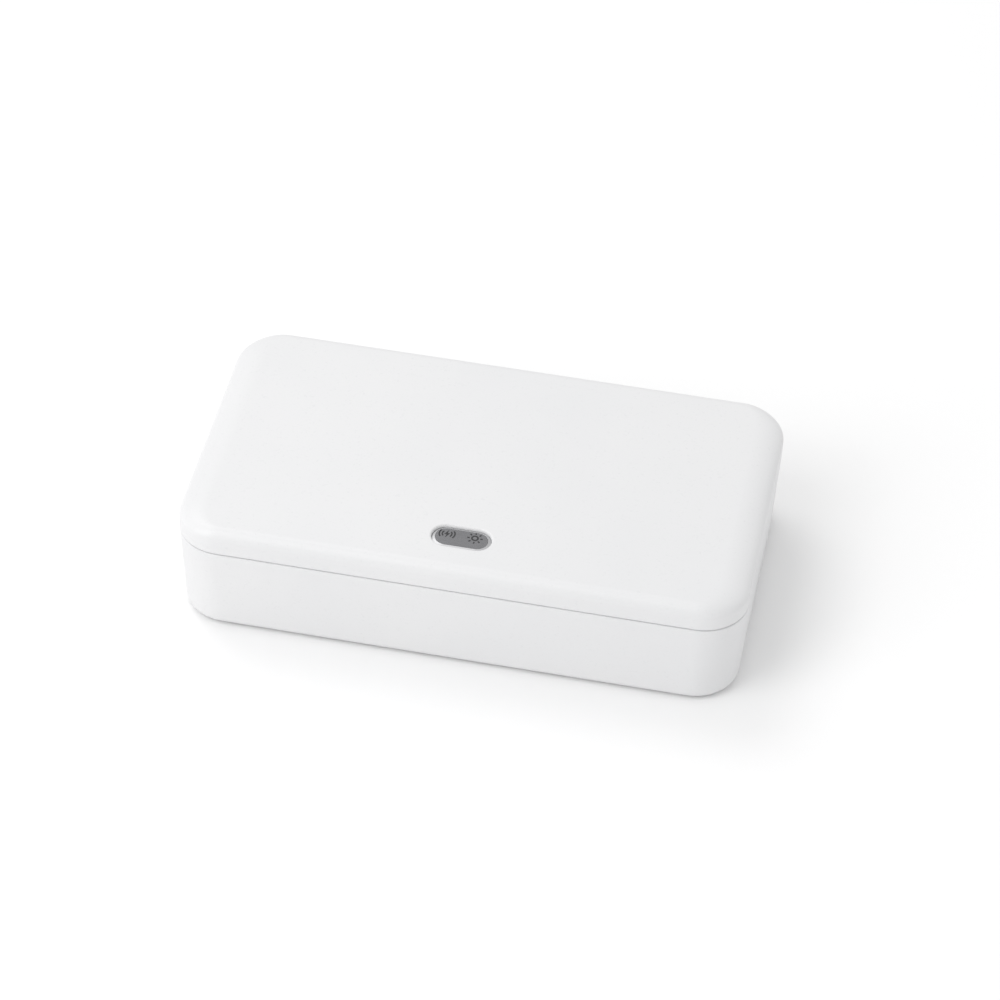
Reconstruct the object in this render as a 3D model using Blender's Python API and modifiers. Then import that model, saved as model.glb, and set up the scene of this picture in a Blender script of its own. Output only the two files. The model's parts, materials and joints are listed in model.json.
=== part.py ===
"""UV steriliser box: a clamshell case with a UV lamp in its base and in its lid, a wireless charging coil
under the lid's top, and one push button.

Metres, +Z up.  The button side is -Y and the hinge side is +Y.  The origin is on the surface that the box
stands on, under the middle of the case.  The moving pieces hang on two empties, one on each joint's axis.
"""

import math

import bmesh
import bpy
from mathutils import Matrix, Vector

# Case, outside
WIDTH = 0.228
DEPTH = 0.128
HEIGHT = 0.051
LID_HEIGHT = 0.011
SEAM_GAP = 0.0006
FOOT_STAND = 0.001
CORNER_RADIUS = 0.0185
TOP_FILLET = 0.005
END_SHOULDER = 0.012
BOTTOM_FILLET = 0.003
BASE_DRAFT = 0.0016

# Walls and clearances
WALL = 0.002
FLOOR_WALL = 0.002
LID_TOP_WALL = 0.0018
GAP = 0.0003

# Chamber and its two reflective liners
SIDE_POCKET = 0.019
END_POCKET = 0.016
CHAMBER_RADIUS = 0.010
LINER_SKIN = 0.0012
LID_SKIN = 0.0009
FLANGE = 0.0012
LIP_RISE = 0.001
LIP_CLEARANCE = 0.0006
TROUGH_WIDTH = 0.014
TROUGH_DEPTH = 0.0055
TROUGH_SKIN = 0.0007
TROUGH_CLEARANCE = 0.0013
TROUGH_MARGIN = 0.012
CEILING_DROP = 0.007

# Lamps and the ribs over the lower one
LAMP_RADIUS = 0.0015
LAMP_CAP_WALL = 0.0008
LAMP_CAP_LENGTH = 0.008
LAMP_CAP_END = 0.002
RIB_COUNT = 4
RIB_MARGIN = 0.025
RIB_THICKNESS = 0.0024
RIB_HEIGHT = 0.0035
RIB_HORN = 0.003
RIB_HORN_LENGTH = 0.005
RIB_SIDE_MARGIN = 0.003

# Hinge
HINGE_STATION_MARGIN = 0.054
KNUCKLE_RADIUS = 0.003
KNUCKLE_COVER = 0.0004
PIN_RADIUS = 0.001
LID_KNUCKLE = 0.012
BASE_KNUCKLE = 0.008
KNUCKLE_END = 0.001
RAIL_WALL = 0.0008
RAIL_SHELF = 0.0035
BEVEL_ANGLE = math.radians(50)
LEAD_BARREL = 0.020
LEAD_RADIUS = 0.0008
LEAD_WINDOW = (0.0095, 0.019)

# Push button and what is under it
BUTTON_LENGTH = 0.0236
BUTTON_WIDTH = 0.0116
BUTTON_X = -0.0009
BUTTON_FROM_FRONT = 0.0201
BUTTON_SINK = 0.0009
BUTTON_CHAMFER = 0.0006
BUTTON_FLANGE = 0.0007
BUTTON_FLANGE_WIDTH = 0.0012
BUTTON_TRAVEL = 0.0005
BUTTON_SKIN = 0.0005
RECESS_CHAMFER = 0.0009
PLUNGER_RADIUS = 0.001
SWITCH_SIZE = 0.0052
SWITCH_HEIGHT = 0.001
LIGHT_FROM_MIDDLE = (-0.0062, 0.0052)
LIGHT_PIPE_RADIUS = 0.0015
LED_SIZE = (0.0016, 0.0012, 0.0006)
BUTTON_BOARD = (0.030, 0.012, 0.0008)

# Charger in the lid
COIL_RADIUS = 0.025
COIL_HOLE = 0.010
COIL_THICKNESS = 0.0011
FERRITE_RADIUS = 0.027
FERRITE_THICKNESS = 0.0006
CHARGER_BOARD = (0.038, 0.034, 0.001)
CHARGER_CHIP = (0.007, 0.007, 0.0009)
INDUCTOR_RADIUS = 0.0033
INDUCTOR_HEIGHT = 0.0018

# Boards in the base
BOARD_THICKNESS = 0.0016
BOARD_LIFT = 0.0025
BOARD_POST_RADIUS = 0.0015
BOARD_POST_INSET = 0.006
MAIN_BOARD_LENGTH = 0.110
CAPACITOR_PITCH = 0.0096
BOARD_MARGIN = 0.0012
INVERTER_BOARD = (0.0125, 0.060)
TRANSFORMER = (0.0085, 0.0085, 0.0075)
INVERTER_TRANSFORMER = (0.009, 0.016, 0.0085)
CAPACITOR_RADIUS = 0.0032
CAPACITOR_HEIGHT = 0.0095
USB_WIDTH = 0.0089
USB_HEIGHT = 0.0032
USB_LENGTH = 0.0074
USB_WALL = 0.0003
USB_TONGUE = (0.0067, 0.0044, 0.0007)
SENSOR_BOARD = (0.010, 0.006, 0.0010)
HALL_SENSOR = (0.004, 0.003, 0.0014)

# Fasteners, feet and magnets
CORNER_INSET = 0.0145
SCREW_RADIUS = 0.00125
SCREW_HEAD_RADIUS = 0.0026
SCREW_HEAD_HEIGHT = 0.0013
BASE_SCREW_LENGTH = 0.014
LID_SCREW_LENGTH = 0.0055
LID_SCREW_HEAD_RADIUS = 0.0022
LID_SCREW_HEAD_HEIGHT = 0.0009
BOSS_WALL = 0.0017
SCREW_CLAMP = 0.001
STANDOFF_TOP = 0.004
FOOT_RADIUS = 0.0048
FOOT_HEIGHT = 0.0016
MAGNET_RADIUS = 0.0025
MAGNET_HEIGHT = 0.0034
MAGNET_FROM_CENTRE = 0.070
MAGNET_FROM_FRONT = 0.0085
SENSOR_X = -0.040
SENSOR_MAGNET_RADIUS = 0.0018
SENSOR_MAGNET_HEIGHT = 0.002
CUP_WALL = 0.0009

# Facets
CORNER_STEPS = 8
FILLET_STEPS = 3
ROUND_STEPS = 24
SMALL_STEPS = 16
SMOOTH_ANGLE = math.radians(35)
SAME_HEIGHT = 1e-7
OVER = 0.001

# Heights worked out from the sizes above
SEAM_Z = HEIGHT - LID_HEIGHT
BASE_TOP_Z = SEAM_Z - SEAM_GAP / 2
LID_BOTTOM_Z = SEAM_Z + SEAM_GAP / 2
FLOOR_Z = FOOT_STAND + FLOOR_WALL
LID_INNER_Z = HEIGHT - LID_TOP_WALL
TROUGH_Z = FLOOR_Z + TROUGH_CLEARANCE + LINER_SKIN
CHAMBER_FLOOR_Z = TROUGH_Z + TROUGH_DEPTH
LIP_Z = SEAM_Z + LIP_RISE
BASE_FLANGE_Z = BASE_TOP_Z - GAP
LID_FLANGE_Z = LID_BOTTOM_Z + FLANGE
CEILING_Z = HEIGHT - CEILING_DROP
COIL_Z = LID_INNER_Z - GAP - COIL_THICKNESS
FERRITE_Z = COIL_Z - GAP - FERRITE_THICKNESS
LID_TROUGH_Z = FERRITE_Z - GAP - TROUGH_SKIN

# Plan sizes worked out from the sizes above
CHAMBER_X = WIDTH / 2 - SIDE_POCKET
CHAMBER_Y = DEPTH / 2 - END_POCKET
TROUGH_X = CHAMBER_X - TROUGH_MARGIN
HINGE_INSET = KNUCKLE_RADIUS + KNUCKLE_COVER
HINGE_Y = DEPTH / 2 - HINGE_INSET
RAIL_Y = HINGE_Y - KNUCKLE_RADIUS - RAIL_WALL
RAIL_HEIGHT = KNUCKLE_RADIUS + RAIL_SHELF
BUTTON_Y = BUTTON_FROM_FRONT - DEPTH / 2
LIGHT_X = tuple(BUTTON_X + offset for offset in LIGHT_FROM_MIDDLE)
MAGNET_Y = MAGNET_FROM_FRONT - DEPTH / 2
CORNERS = [
    (name, side * (WIDTH / 2 - CORNER_INSET), end * (DEPTH / 2 - CORNER_INSET))
    for name, side, end in (
        ("front_left", -1, -1),
        ("front_right", 1, -1),
        ("rear_left", -1, 1),
        ("rear_right", 1, 1),
    )
]
SIDES = (("left", -1), ("right", 1))


def new_collection(name):
    group = bpy.data.collections.new(name)
    bpy.context.scene.collection.children.link(group)
    return group


def new_empty(name, location):
    empty = bpy.data.objects.new(name, None)
    empty.location = location
    empty.empty_display_size = 0.01
    PARTS.objects.link(empty)
    return empty


def new_material(name, colour, roughness, metallic=0.0, transmission=0.0):
    made = bpy.data.materials.new(name)
    made.use_nodes = True
    shader = made.node_tree.nodes["Principled BSDF"]
    shader.inputs["Base Color"].default_value = (*colour, 1.0)
    shader.inputs["Roughness"].default_value = roughness
    shader.inputs["Metallic"].default_value = metallic
    shader.inputs["Transmission Weight"].default_value = transmission
    made.diffuse_color = (*colour, 1.0)
    return made


def add_block(shape, centre, size):
    """Add a box of the given size to a bmesh, and return its vertices."""
    place = Matrix.LocRotScale(Vector(centre), None, Vector(size))
    return bmesh.ops.create_cube(shape, size=1.0, matrix=place)["verts"]


def add_rod(shape, radius, start, end, steps=ROUND_STEPS, end_radius=None):
    """Add a closed cylinder or cone between two points to a bmesh."""
    start = Vector(start)
    end = Vector(end)
    along = end - start
    turn = along.to_track_quat("Z", "Y").to_matrix().to_4x4()
    bmesh.ops.create_cone(
        shape,
        cap_ends=True,
        segments=steps,
        radius1=radius,
        radius2=radius if end_radius is None else end_radius,
        depth=along.length,
        matrix=Matrix.Translation((start + end) / 2) @ turn,
    )


def add_pill(shape, length, width, low_z, high_z, centre, high_grow=0.0):
    """Add an upright round-ended prism to a bmesh; its upper edge can flare outwards."""
    verts = add_block(shape, (centre[0], centre[1], (low_z + high_z) / 2), (length, width, high_z - low_z))
    upright = [edge for edge in {e for v in verts for e in v.link_edges} if is_upright(edge)]
    bmesh.ops.bevel(
        shape, geom=upright, offset=width / 2 * 0.999, segments=CORNER_STEPS, profile=0.5, affect="EDGES"
    )
    if high_grow:
        straight = (length - width) / 2
        for vert in shape.verts:
            if abs(vert.co.z - high_z) < SAME_HEIGHT:
                middle = Vector((centre[0], centre[1], high_z))
                middle.x += max(-straight, min(straight, vert.co.x - centre[0]))
                vert.co += (vert.co - middle).normalized() * high_grow


def is_upright(edge):
    first, second = edge.verts
    return abs(first.co.z - second.co.z) > 0.6 * edge.calc_length()


def round_ring(shape, height, radius):
    """Round the edges of a bmesh that lie at one height."""
    ring = [e for e in shape.edges if all(abs(v.co.z - height) < SAME_HEIGHT for v in e.verts)]
    ring = [e for e in ring if any(abs(f.normal.z) < 0.5 for f in e.link_faces)]
    bmesh.ops.bevel(
        shape, geom=ring, offset=radius, segments=FILLET_STEPS, profile=0.5, affect="EDGES",
        clamp_overlap=True,
    )


def widen_end_rounding(shape, corner_x, corner, low_z, radius, reach):
    """Turn the round edge above low_z into a quarter of an ellipse at the two short ends."""
    for vert in shape.verts:
        rise = vert.co.z - low_z
        beyond = abs(vert.co.x) - corner_x
        if rise > SAME_HEIGHT and beyond > 0:
            inset = radius - math.sqrt(max(0.0, radius ** 2 - rise ** 2))
            beyond *= (corner - inset * reach / radius) / (corner - inset)
            vert.co.x = math.copysign(corner_x + beyond, vert.co.x)


def rounded_box(half_x, half_y, low_z, high_z, corner, low_inset=0.0, low_round=0.0, high_round=0.0,
                end_reach=0.0, before_y=None, behind_y=None):
    """A box with round upright corners.

    The foot of each side is drawn in by low_inset, and the lower and upper edges can be rounded.  The upper
    rounding can reach further in at the two short ends, by end_reach.  Only what lies before before_y, or
    behind behind_y, is kept.
    """
    shape = bmesh.new()
    verts = add_block(shape, (0, 0, (low_z + high_z) / 2), (2 * half_x, 2 * half_y, high_z - low_z))
    for vert in verts:
        if vert.co.z < (low_z + high_z) / 2:
            vert.co.x -= math.copysign(low_inset, vert.co.x)
            vert.co.y -= math.copysign(low_inset, vert.co.y)
    upright = [edge for edge in shape.edges if is_upright(edge)]
    bmesh.ops.bevel(shape, geom=upright, offset=corner, segments=CORNER_STEPS, profile=0.5, affect="EDGES")
    if low_round:
        round_ring(shape, low_z, low_round)
    if high_round:
        round_ring(shape, high_z, high_round)
    if end_reach:
        widen_end_rounding(shape, half_x - corner, corner, high_z - high_round, high_round, end_reach)
    for plane_y, outward in ((before_y, 1), (behind_y, -1)):
        if plane_y is not None:
            geometry = shape.verts[:] + shape.edges[:] + shape.faces[:]
            bmesh.ops.bisect_plane(
                shape, geom=geometry, plane_co=(0, plane_y, 0), plane_no=(0, outward, 0), clear_outer=True
            )
            open_edges = [edge for edge in shape.edges if edge.is_boundary]
            bmesh.ops.holes_fill(shape, edges=open_edges)
    return shape


def add_object(name, shape, group, smooth=False):
    bmesh.ops.recalc_face_normals(shape, faces=shape.faces)
    mesh = bpy.data.meshes.new(name)
    shape.to_mesh(mesh)
    shape.free()
    if smooth:
        mesh.shade_smooth()
        mesh.set_sharp_from_angle(angle=SMOOTH_ANGLE)
    made = bpy.data.objects.new(name, mesh)
    group.objects.link(made)
    return made


def add_part(name, shape, finish, carrier, smooth=False):
    """Turn a bmesh in world coordinates into a named part that moves with its carrier."""
    made = add_object(name, shape, PARTS, smooth)
    paint(made, finish)
    hang_on(made, carrier)
    return made


def paint(made, finish):
    """Give an object its own copy of a finish, named for the object."""
    own = finish.copy()
    own.name = made.name
    made.data.materials.append(own)


def hang_on(made, carrier):
    """Parent an object to an empty, with its origin on the empty's and its mesh where it was."""
    made.data.transform(Matrix.Translation(-carrier.location))
    made.parent = carrier


def add_helper(name, shape):
    """Turn a bmesh into a hidden operand for a Boolean."""
    made = add_object(name, shape, CUTTERS)
    made.hide_render = True
    made.display_type = "WIRE"
    return made


def combine(part, operation, name, shape):
    """Cut a bmesh from a part, or join it to the part."""
    step = part.modifiers.new(name, "BOOLEAN")
    step.operation = operation
    step.solver = "EXACT"
    step.object = add_helper(part.name + "." + name, shape)


def cut(part, name, shape):
    combine(part, "DIFFERENCE", name, shape)


def join(part, name, shape):
    combine(part, "UNION", name, shape)


def rods(items, steps=ROUND_STEPS):
    """One bmesh of separate cylinders, from (radius, start, end) items."""
    shape = bmesh.new()
    for radius, start, end in items:
        add_rod(shape, radius, start, end, steps)
    return shape


def blocks(items):
    """One bmesh of separate boxes, from (centre, size) items."""
    shape = bmesh.new()
    for centre, size in items:
        add_block(shape, centre, size)
    return shape


def board(name, centre, size, finish, carrier):
    """A flat box, such as a circuit board or a chip, standing on centre."""
    middle = (centre[0], centre[1], centre[2] + size[2] / 2)
    return add_part(name, blocks([(middle, size)]), finish, carrier)


def base_inset(height):
    """How far the base's outer side stands in from its top edge at a height."""
    return BASE_DRAFT * (BASE_TOP_Z - height) / (BASE_TOP_Z - FOOT_STAND)


def hinge_rods(items, radius):
    """Cylinders on the hinge's axis, from (start, end) along X."""
    return rods([(radius, (low, HINGE_Y, SEAM_Z), (high, HINGE_Y, SEAM_Z)) for low, high in items])


def knuckle_spans():
    """The stretches of the hinge's axis held by the base's knuckles and by the lid's knuckles."""
    station = WIDTH / 2 - HINGE_STATION_MARGIN
    half = LID_KNUCKLE / 2
    in_base = []
    in_lid = []
    for side in (-1, 1):
        middle = side * station
        in_lid.append((middle - half, middle + half))
        for direction in (-1, 1):
            near = middle + direction * (half + GAP)
            far = near + direction * BASE_KNUCKLE
            in_base.append((min(near, far), max(near, far)))
    in_base.append((-LEAD_BARREL, -GAP / 2))
    in_lid.append((GAP / 2, LEAD_BARREL))
    return in_base, in_lid


def pin_spans():
    """The two hinge pins: each ends in its outer base knuckle and is open at its inner one."""
    station = WIDTH / 2 - HINGE_STATION_MARGIN
    reach = LID_KNUCKLE / 2 + GAP + BASE_KNUCKLE
    return [(name, side * (station - reach), side * (station + reach - KNUCKLE_END)) for name, side in SIDES]


def grown(spans, amount):
    return [(low - amount, high + amount) for low, high in spans]


def bevel_wedge():
    """The wedge cut out along the back, so that the lid can swing behind the hinge's axis."""
    reach = 4 * HINGE_INSET
    rise = reach * math.tan(BEVEL_ANGLE)
    shape = bmesh.new()
    corners = [
        shape.verts.new((-WIDTH / 2 - OVER, HINGE_Y + y, SEAM_Z + z))
        for y, z in ((0, 0), (reach, -rise), (reach, rise))
    ]
    face = shape.faces.new(corners)
    pushed = bmesh.ops.extrude_face_region(shape, geom=[face])["geom"]
    moved = [item for item in pushed if isinstance(item, bmesh.types.BMVert)]
    bmesh.ops.translate(shape, verts=moved, vec=(WIDTH + 2 * OVER, 0, 0))
    return shape


def hinge_rail(low_z, high_z):
    """The thick strip along the inside of the back wall that carries the knuckles."""
    edge = WALL / 2 + base_inset(low_z if low_z < SEAM_Z else SEAM_Z)
    return rounded_box(
        WIDTH / 2 - edge, DEPTH / 2 - edge, low_z, high_z, CORNER_RADIUS - edge, behind_y=RAIL_Y,
    )


def make_base_shell():
    shell = add_part(
        "base_shell",
        rounded_box(WIDTH / 2, DEPTH / 2, FOOT_STAND, BASE_TOP_Z, CORNER_RADIUS, BASE_DRAFT, BOTTOM_FILLET),
        WHITE_PLASTIC, BASE, smooth=True,
    )
    high_z = BASE_TOP_Z + OVER
    edge = WALL + base_inset(high_z)
    cut(shell, "hollow", rounded_box(
        WIDTH / 2 - edge, DEPTH / 2 - edge, FLOOR_Z, high_z, CORNER_RADIUS - WALL,
        base_inset(FLOOR_Z) - base_inset(high_z), BOTTOM_FILLET - WALL,
    ))
    join(shell, "hinge_rail", hinge_rail(SEAM_Z - RAIL_HEIGHT, BASE_TOP_Z - GAP))
    cut(shell, "rear_bevel", bevel_wedge())
    in_base, in_lid = knuckle_spans()
    cut(shell, "room_for_lid_knuckles", hinge_rods(grown(in_lid, GAP), KNUCKLE_RADIUS + GAP))
    join(shell, "knuckles", hinge_rods(in_base, KNUCKLE_RADIUS))
    join(shell, "standoffs", rods(
        [(BOSS_WALL + SCREW_RADIUS + GAP, (x, y, FLOOR_Z - OVER), (x, y, BASE_BOSS_Z - GAP))
         for _, x, y in CORNERS]
    ))
    join(shell, "board_posts", rods(
        [(BOARD_POST_RADIUS, (x, y, FLOOR_Z - OVER), (x, y, FLOOR_Z + BOARD_LIFT - GAP))
         for x, y in board_posts()], SMALL_STEPS,
    ))
    cut(shell, "foot_seats", rods(
        [(FOOT_RADIUS + GAP, (x, y, FOOT_STAND - OVER), (x, y, FOOT_HEIGHT + GAP)) for _, x, y in CORNERS]
    ))
    cut(shell, "screw_counterbores", rods(
        [(SCREW_HEAD_RADIUS + GAP, (x, y, FOOT_STAND), (x, y, SCREW_SEAT_Z)) for _, x, y in CORNERS]
    ))
    cut(shell, "screw_holes", rods(
        [(SCREW_RADIUS + GAP, (x, y, FOOT_STAND), (x, y, BASE_BOSS_Z + OVER)) for _, x, y in CORNERS],
        SMALL_STEPS,
    ))
    cut(shell, "pin_bores", hinge_rods(pin_bores(), PIN_RADIUS + GAP))
    cut(shell, "lead_bore", hinge_rods([(-LEAD_WINDOW[1], OVER)], PIN_RADIUS + GAP))
    cut(shell, "lead_window", lead_window(-1))
    opening = bmesh.new()
    add_usb_pill(opening, USB_WIDTH / 2 + GAP, USB_HEIGHT + 2 * GAP, DEPTH / 2 - 4 * WALL, DEPTH / 2 + OVER)
    cut(shell, "usb_opening", opening)
    return shell


def pin_bores():
    """Where the pins run, open at the inner ends and GAP longer than the pins at the outer ends."""
    bores = []
    for _, inner, outer in pin_spans():
        direction = math.copysign(1, outer)
        bores.append(tuple(sorted((inner - direction * OVER, outer))))
    return bores


def lead_window(side):
    """The opening through which the lead turns from its side of the seam into the middle barrel."""
    low_x, high_x = sorted((side * LEAD_WINDOW[0], side * LEAD_WINDOW[1]))
    near_y = RAIL_Y - OVER
    far_y = HINGE_Y + PIN_RADIUS
    deep_z = SEAM_Z + side * (KNUCKLE_RADIUS + 2 * LEAD_RADIUS)
    edge_z = SEAM_Z - side * PIN_RADIUS
    low = Vector((low_x, near_y, min(deep_z, edge_z)))
    high = Vector((high_x, far_y, max(deep_z, edge_z)))
    return blocks([((low + high) / 2, high - low)])


def add_usb_pill(shape, half_width, height, near_y, far_y):
    """Add a round-ended bar along Y, centred on the USB inlet's axis, to a bmesh."""
    flat = bmesh.new()
    add_pill(flat, 2 * half_width, height, near_y, far_y, (0, 0))
    turn = Matrix.Translation((0, 0, USB_Z)) @ Matrix.Rotation(math.radians(-90), 4, "X")
    flat.transform(turn)
    mesh = bpy.data.meshes.new("usb_pill")
    flat.to_mesh(mesh)
    flat.free()
    shape.from_mesh(mesh)
    bpy.data.meshes.remove(mesh)


def board_posts():
    """Places of the posts under the main board and the inverter board."""
    posts = [(side * (MAIN_BOARD_LENGTH / 2 - BOARD_POST_INSET), MAIN_BOARD_Y) for side in (-1, 1)]
    posts += [(INVERTER_X, end * (INVERTER_BOARD[1] / 2 - BOARD_POST_INSET)) for end in (-1, 1)]
    return posts


def make_base_liner():
    outer_x = CHAMBER_X + LINER_SKIN
    outer_y = CHAMBER_Y + LINER_SKIN
    flange_low = BASE_FLANGE_Z - FLANGE
    edge = WALL + base_inset(flange_low) + GAP
    liner = add_part(
        "base_liner",
        rounded_box(outer_x, outer_y, CHAMBER_FLOOR_Z - LINER_SKIN, LIP_Z, CHAMBER_RADIUS + LINER_SKIN),
        MIRROR_LINER, BASE, smooth=True,
    )
    join(liner, "flange", rounded_box(
        WIDTH / 2 - edge, DEPTH / 2 - edge, flange_low, BASE_FLANGE_Z, CORNER_RADIUS - WALL,
        before_y=RAIL_Y - GAP,
    ))
    half_trough = TROUGH_WIDTH / 2 + LINER_SKIN
    join(liner, "trough_walls", blocks([(
        (0, 0, (TROUGH_Z + CHAMBER_FLOOR_Z) / 2 - LINER_SKIN),
        (2 * (TROUGH_X + LINER_SKIN), 2 * half_trough, TROUGH_DEPTH),
    )]))
    join(liner, "bosses", rods(
        [(BOSS_WALL + SCREW_RADIUS + GAP, (x, y, BASE_BOSS_Z), (x, y, BASE_FLANGE_Z - FLANGE / 2))
         for _, x, y in CORNERS]
    ))
    join(liner, "magnet_cups", rods(
        [(MAGNET_RADIUS + GAP + CUP_WALL, (x, MAGNET_Y, BASE_MAGNET_Z - GAP - CUP_WALL),
          (x, MAGNET_Y, BASE_FLANGE_Z - FLANGE / 2)) for x in magnet_xs()]
    ))
    cut(liner, "chamber", rounded_box(
        CHAMBER_X, CHAMBER_Y, CHAMBER_FLOOR_Z, LIP_Z + OVER, CHAMBER_RADIUS,
    ))
    cut(liner, "lamp_trough", blocks([(
        (0, 0, (TROUGH_Z + CHAMBER_FLOOR_Z + OVER) / 2),
        (2 * TROUGH_X, TROUGH_WIDTH, TROUGH_DEPTH + OVER),
    )]))
    cut(liner, "screw_pilots", rods(
        [(SCREW_RADIUS + GAP, (x, y, BASE_BOSS_Z - OVER), (x, y, SCREW_SEAT_Z + BASE_SCREW_LENGTH + OVER))
         for _, x, y in CORNERS], SMALL_STEPS,
    ))
    cut(liner, "magnet_pockets", rods(
        [(MAGNET_RADIUS + GAP, (x, MAGNET_Y, BASE_MAGNET_Z - GAP), (x, MAGNET_Y, BASE_FLANGE_Z + OVER))
         for x in magnet_xs()]
    ))
    return liner


def magnet_xs():
    return [side * MAGNET_FROM_CENTRE for side in (-1, 1)]


def make_lid_shell():
    shell = add_part(
        "lid_shell",
        rounded_box(
            WIDTH / 2, DEPTH / 2, LID_BOTTOM_Z, HEIGHT, CORNER_RADIUS, high_round=TOP_FILLET,
            end_reach=END_SHOULDER,
        ),
        WHITE_PLASTIC, LID, smooth=True,
    )
    cut(shell, "hollow", rounded_box(
        WIDTH / 2 - WALL, DEPTH / 2 - WALL, LID_BOTTOM_Z - OVER, LID_INNER_Z, CORNER_RADIUS - WALL,
        high_round=TOP_FILLET - WALL, end_reach=END_SHOULDER - WALL,
    ))
    join(shell, "hinge_rail", hinge_rail(LID_BOTTOM_Z + GAP, SEAM_Z + RAIL_HEIGHT))
    cut(shell, "rear_bevel", bevel_wedge())
    in_base, in_lid = knuckle_spans()
    cut(shell, "room_for_base_knuckles", hinge_rods(grown(in_base, GAP), KNUCKLE_RADIUS + GAP))
    join(shell, "knuckles", hinge_rods(in_lid, KNUCKLE_RADIUS))
    join(shell, "bosses", rods(
        [(BOSS_WALL + SCREW_RADIUS + GAP, (x, y, LID_BOSS_Z), (x, y, LID_INNER_Z + OVER / 2))
         for _, x, y in CORNERS]
    ))
    cut(shell, "screw_pilots", rods(
        [(SCREW_RADIUS + GAP, (x, y, LID_BOSS_Z - OVER), (x, y, LID_SCREW_Z + LID_SCREW_LENGTH + GAP))
         for _, x, y in CORNERS], SMALL_STEPS,
    ))
    cut(shell, "pin_bores", hinge_rods(pin_bores(), PIN_RADIUS + GAP))
    cut(shell, "lead_bore", hinge_rods([(-OVER, LEAD_WINDOW[1])], PIN_RADIUS + GAP))
    cut(shell, "lead_window", lead_window(1))
    hole_length = BUTTON_LENGTH + 2 * GAP
    hole_width = BUTTON_WIDTH + 2 * GAP
    hole = bmesh.new()
    add_pill(hole, hole_length, hole_width, LID_INNER_Z - OVER, HEIGHT + OVER, (BUTTON_X, BUTTON_Y))
    cut(shell, "button_hole", hole)
    rim = bmesh.new()
    add_pill(
        rim, hole_length, hole_width, HEIGHT - RECESS_CHAMFER, HEIGHT + RECESS_CHAMFER, (BUTTON_X, BUTTON_Y),
        high_grow=2 * RECESS_CHAMFER,
    )
    cut(shell, "recess_rim", rim)
    return shell


def make_lid_liner():
    inner_x = CHAMBER_X + LINER_SKIN + LIP_CLEARANCE
    inner_y = CHAMBER_Y + LINER_SKIN + LIP_CLEARANCE
    inner_corner = CHAMBER_RADIUS + LINER_SKIN + LIP_CLEARANCE
    edge = WALL + GAP
    trough_side = TROUGH_WIDTH / 2 + TROUGH_SKIN
    liner = add_part(
        "lid_liner",
        rounded_box(
            inner_x + LID_SKIN, inner_y + LID_SKIN, LID_BOTTOM_Z, CEILING_Z + LID_SKIN,
            inner_corner + LID_SKIN,
        ),
        MIRROR_LINER, LID, smooth=True,
    )
    join(liner, "flange", rounded_box(
        WIDTH / 2 - edge, DEPTH / 2 - edge, LID_BOTTOM_Z, LID_FLANGE_Z, CORNER_RADIUS - edge,
        before_y=RAIL_Y - GAP,
    ))
    top_z = LID_TROUGH_Z + TROUGH_SKIN
    join(liner, "trough_walls", blocks([(
        (0, 0, (CEILING_Z + top_z) / 2), (2 * (TROUGH_X + TROUGH_SKIN), 2 * trough_side, top_z - CEILING_Z),
    )]))
    join(liner, "screw_cups", rods(
        [(LID_SCREW_HEAD_RADIUS + GAP + CUP_WALL, (x, y, LID_BOTTOM_Z + FLANGE / 2), (x, y, LID_BOSS_Z - GAP))
         for _, x, y in CORNERS]
    ))
    join(liner, "magnet_cups", rods(
        [(MAGNET_RADIUS + GAP + CUP_WALL, (x, MAGNET_Y, LID_BOTTOM_Z + FLANGE / 2),
          (x, MAGNET_Y, LID_MAGNET_Z + MAGNET_HEIGHT + GAP + CUP_WALL)) for x in magnet_xs()]
    ))
    cut(liner, "chamber_roof", rounded_box(
        inner_x, inner_y, LID_BOTTOM_Z - OVER, CEILING_Z, inner_corner,
    ))
    cut(liner, "lamp_trough", blocks([(
        (0, 0, (CEILING_Z - OVER + LID_TROUGH_Z) / 2),
        (2 * TROUGH_X, TROUGH_WIDTH, LID_TROUGH_Z - CEILING_Z + OVER),
    )]))
    cut(liner, "screw_heads", rods(
        [(LID_SCREW_HEAD_RADIUS + GAP, (x, y, LID_BOTTOM_Z - OVER), (x, y, LID_SCREW_Z))
         for _, x, y in CORNERS]
    ))
    cut(liner, "screw_holes", rods(
        [(SCREW_RADIUS + GAP, (x, y, LID_BOTTOM_Z - OVER), (x, y, LID_BOSS_Z + OVER)) for _, x, y in CORNERS],
        SMALL_STEPS,
    ))
    cut(liner, "magnet_pockets", rods(
        [(MAGNET_RADIUS + GAP, (x, MAGNET_Y, LID_BOTTOM_Z - OVER),
          (x, MAGNET_Y, LID_MAGNET_Z + MAGNET_HEIGHT + GAP)) for x in magnet_xs()]
    ))
    return liner


def make_lamp(prefix, axis_z, carrier):
    """A lamp tube between two end caps, which grip its ends."""
    cap_radius = LAMP_RADIUS + GAP + LAMP_CAP_WALL
    outer = TROUGH_X - GAP
    inner = outer - LAMP_CAP_LENGTH
    tube_end = outer - LAMP_CAP_END - GAP
    tube = rods([(LAMP_RADIUS, (-tube_end, 0, axis_z), (tube_end, 0, axis_z))], SMALL_STEPS)
    add_part(prefix + "_lamp", tube, QUARTZ, carrier, smooth=True)
    for name, side in SIDES:
        cap = add_part(
            prefix + "_lamp_cap_" + name,
            rods([(cap_radius, (side * inner, 0, axis_z), (side * outer, 0, axis_z))]),
            WHITE_PLASTIC, carrier, smooth=True,
        )
        start = (side * (inner - OVER), 0, axis_z)
        end = (side * (outer - LAMP_CAP_END), 0, axis_z)
        cut(cap, "socket", rods([(LAMP_RADIUS + GAP, start, end)], SMALL_STEPS))


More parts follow.
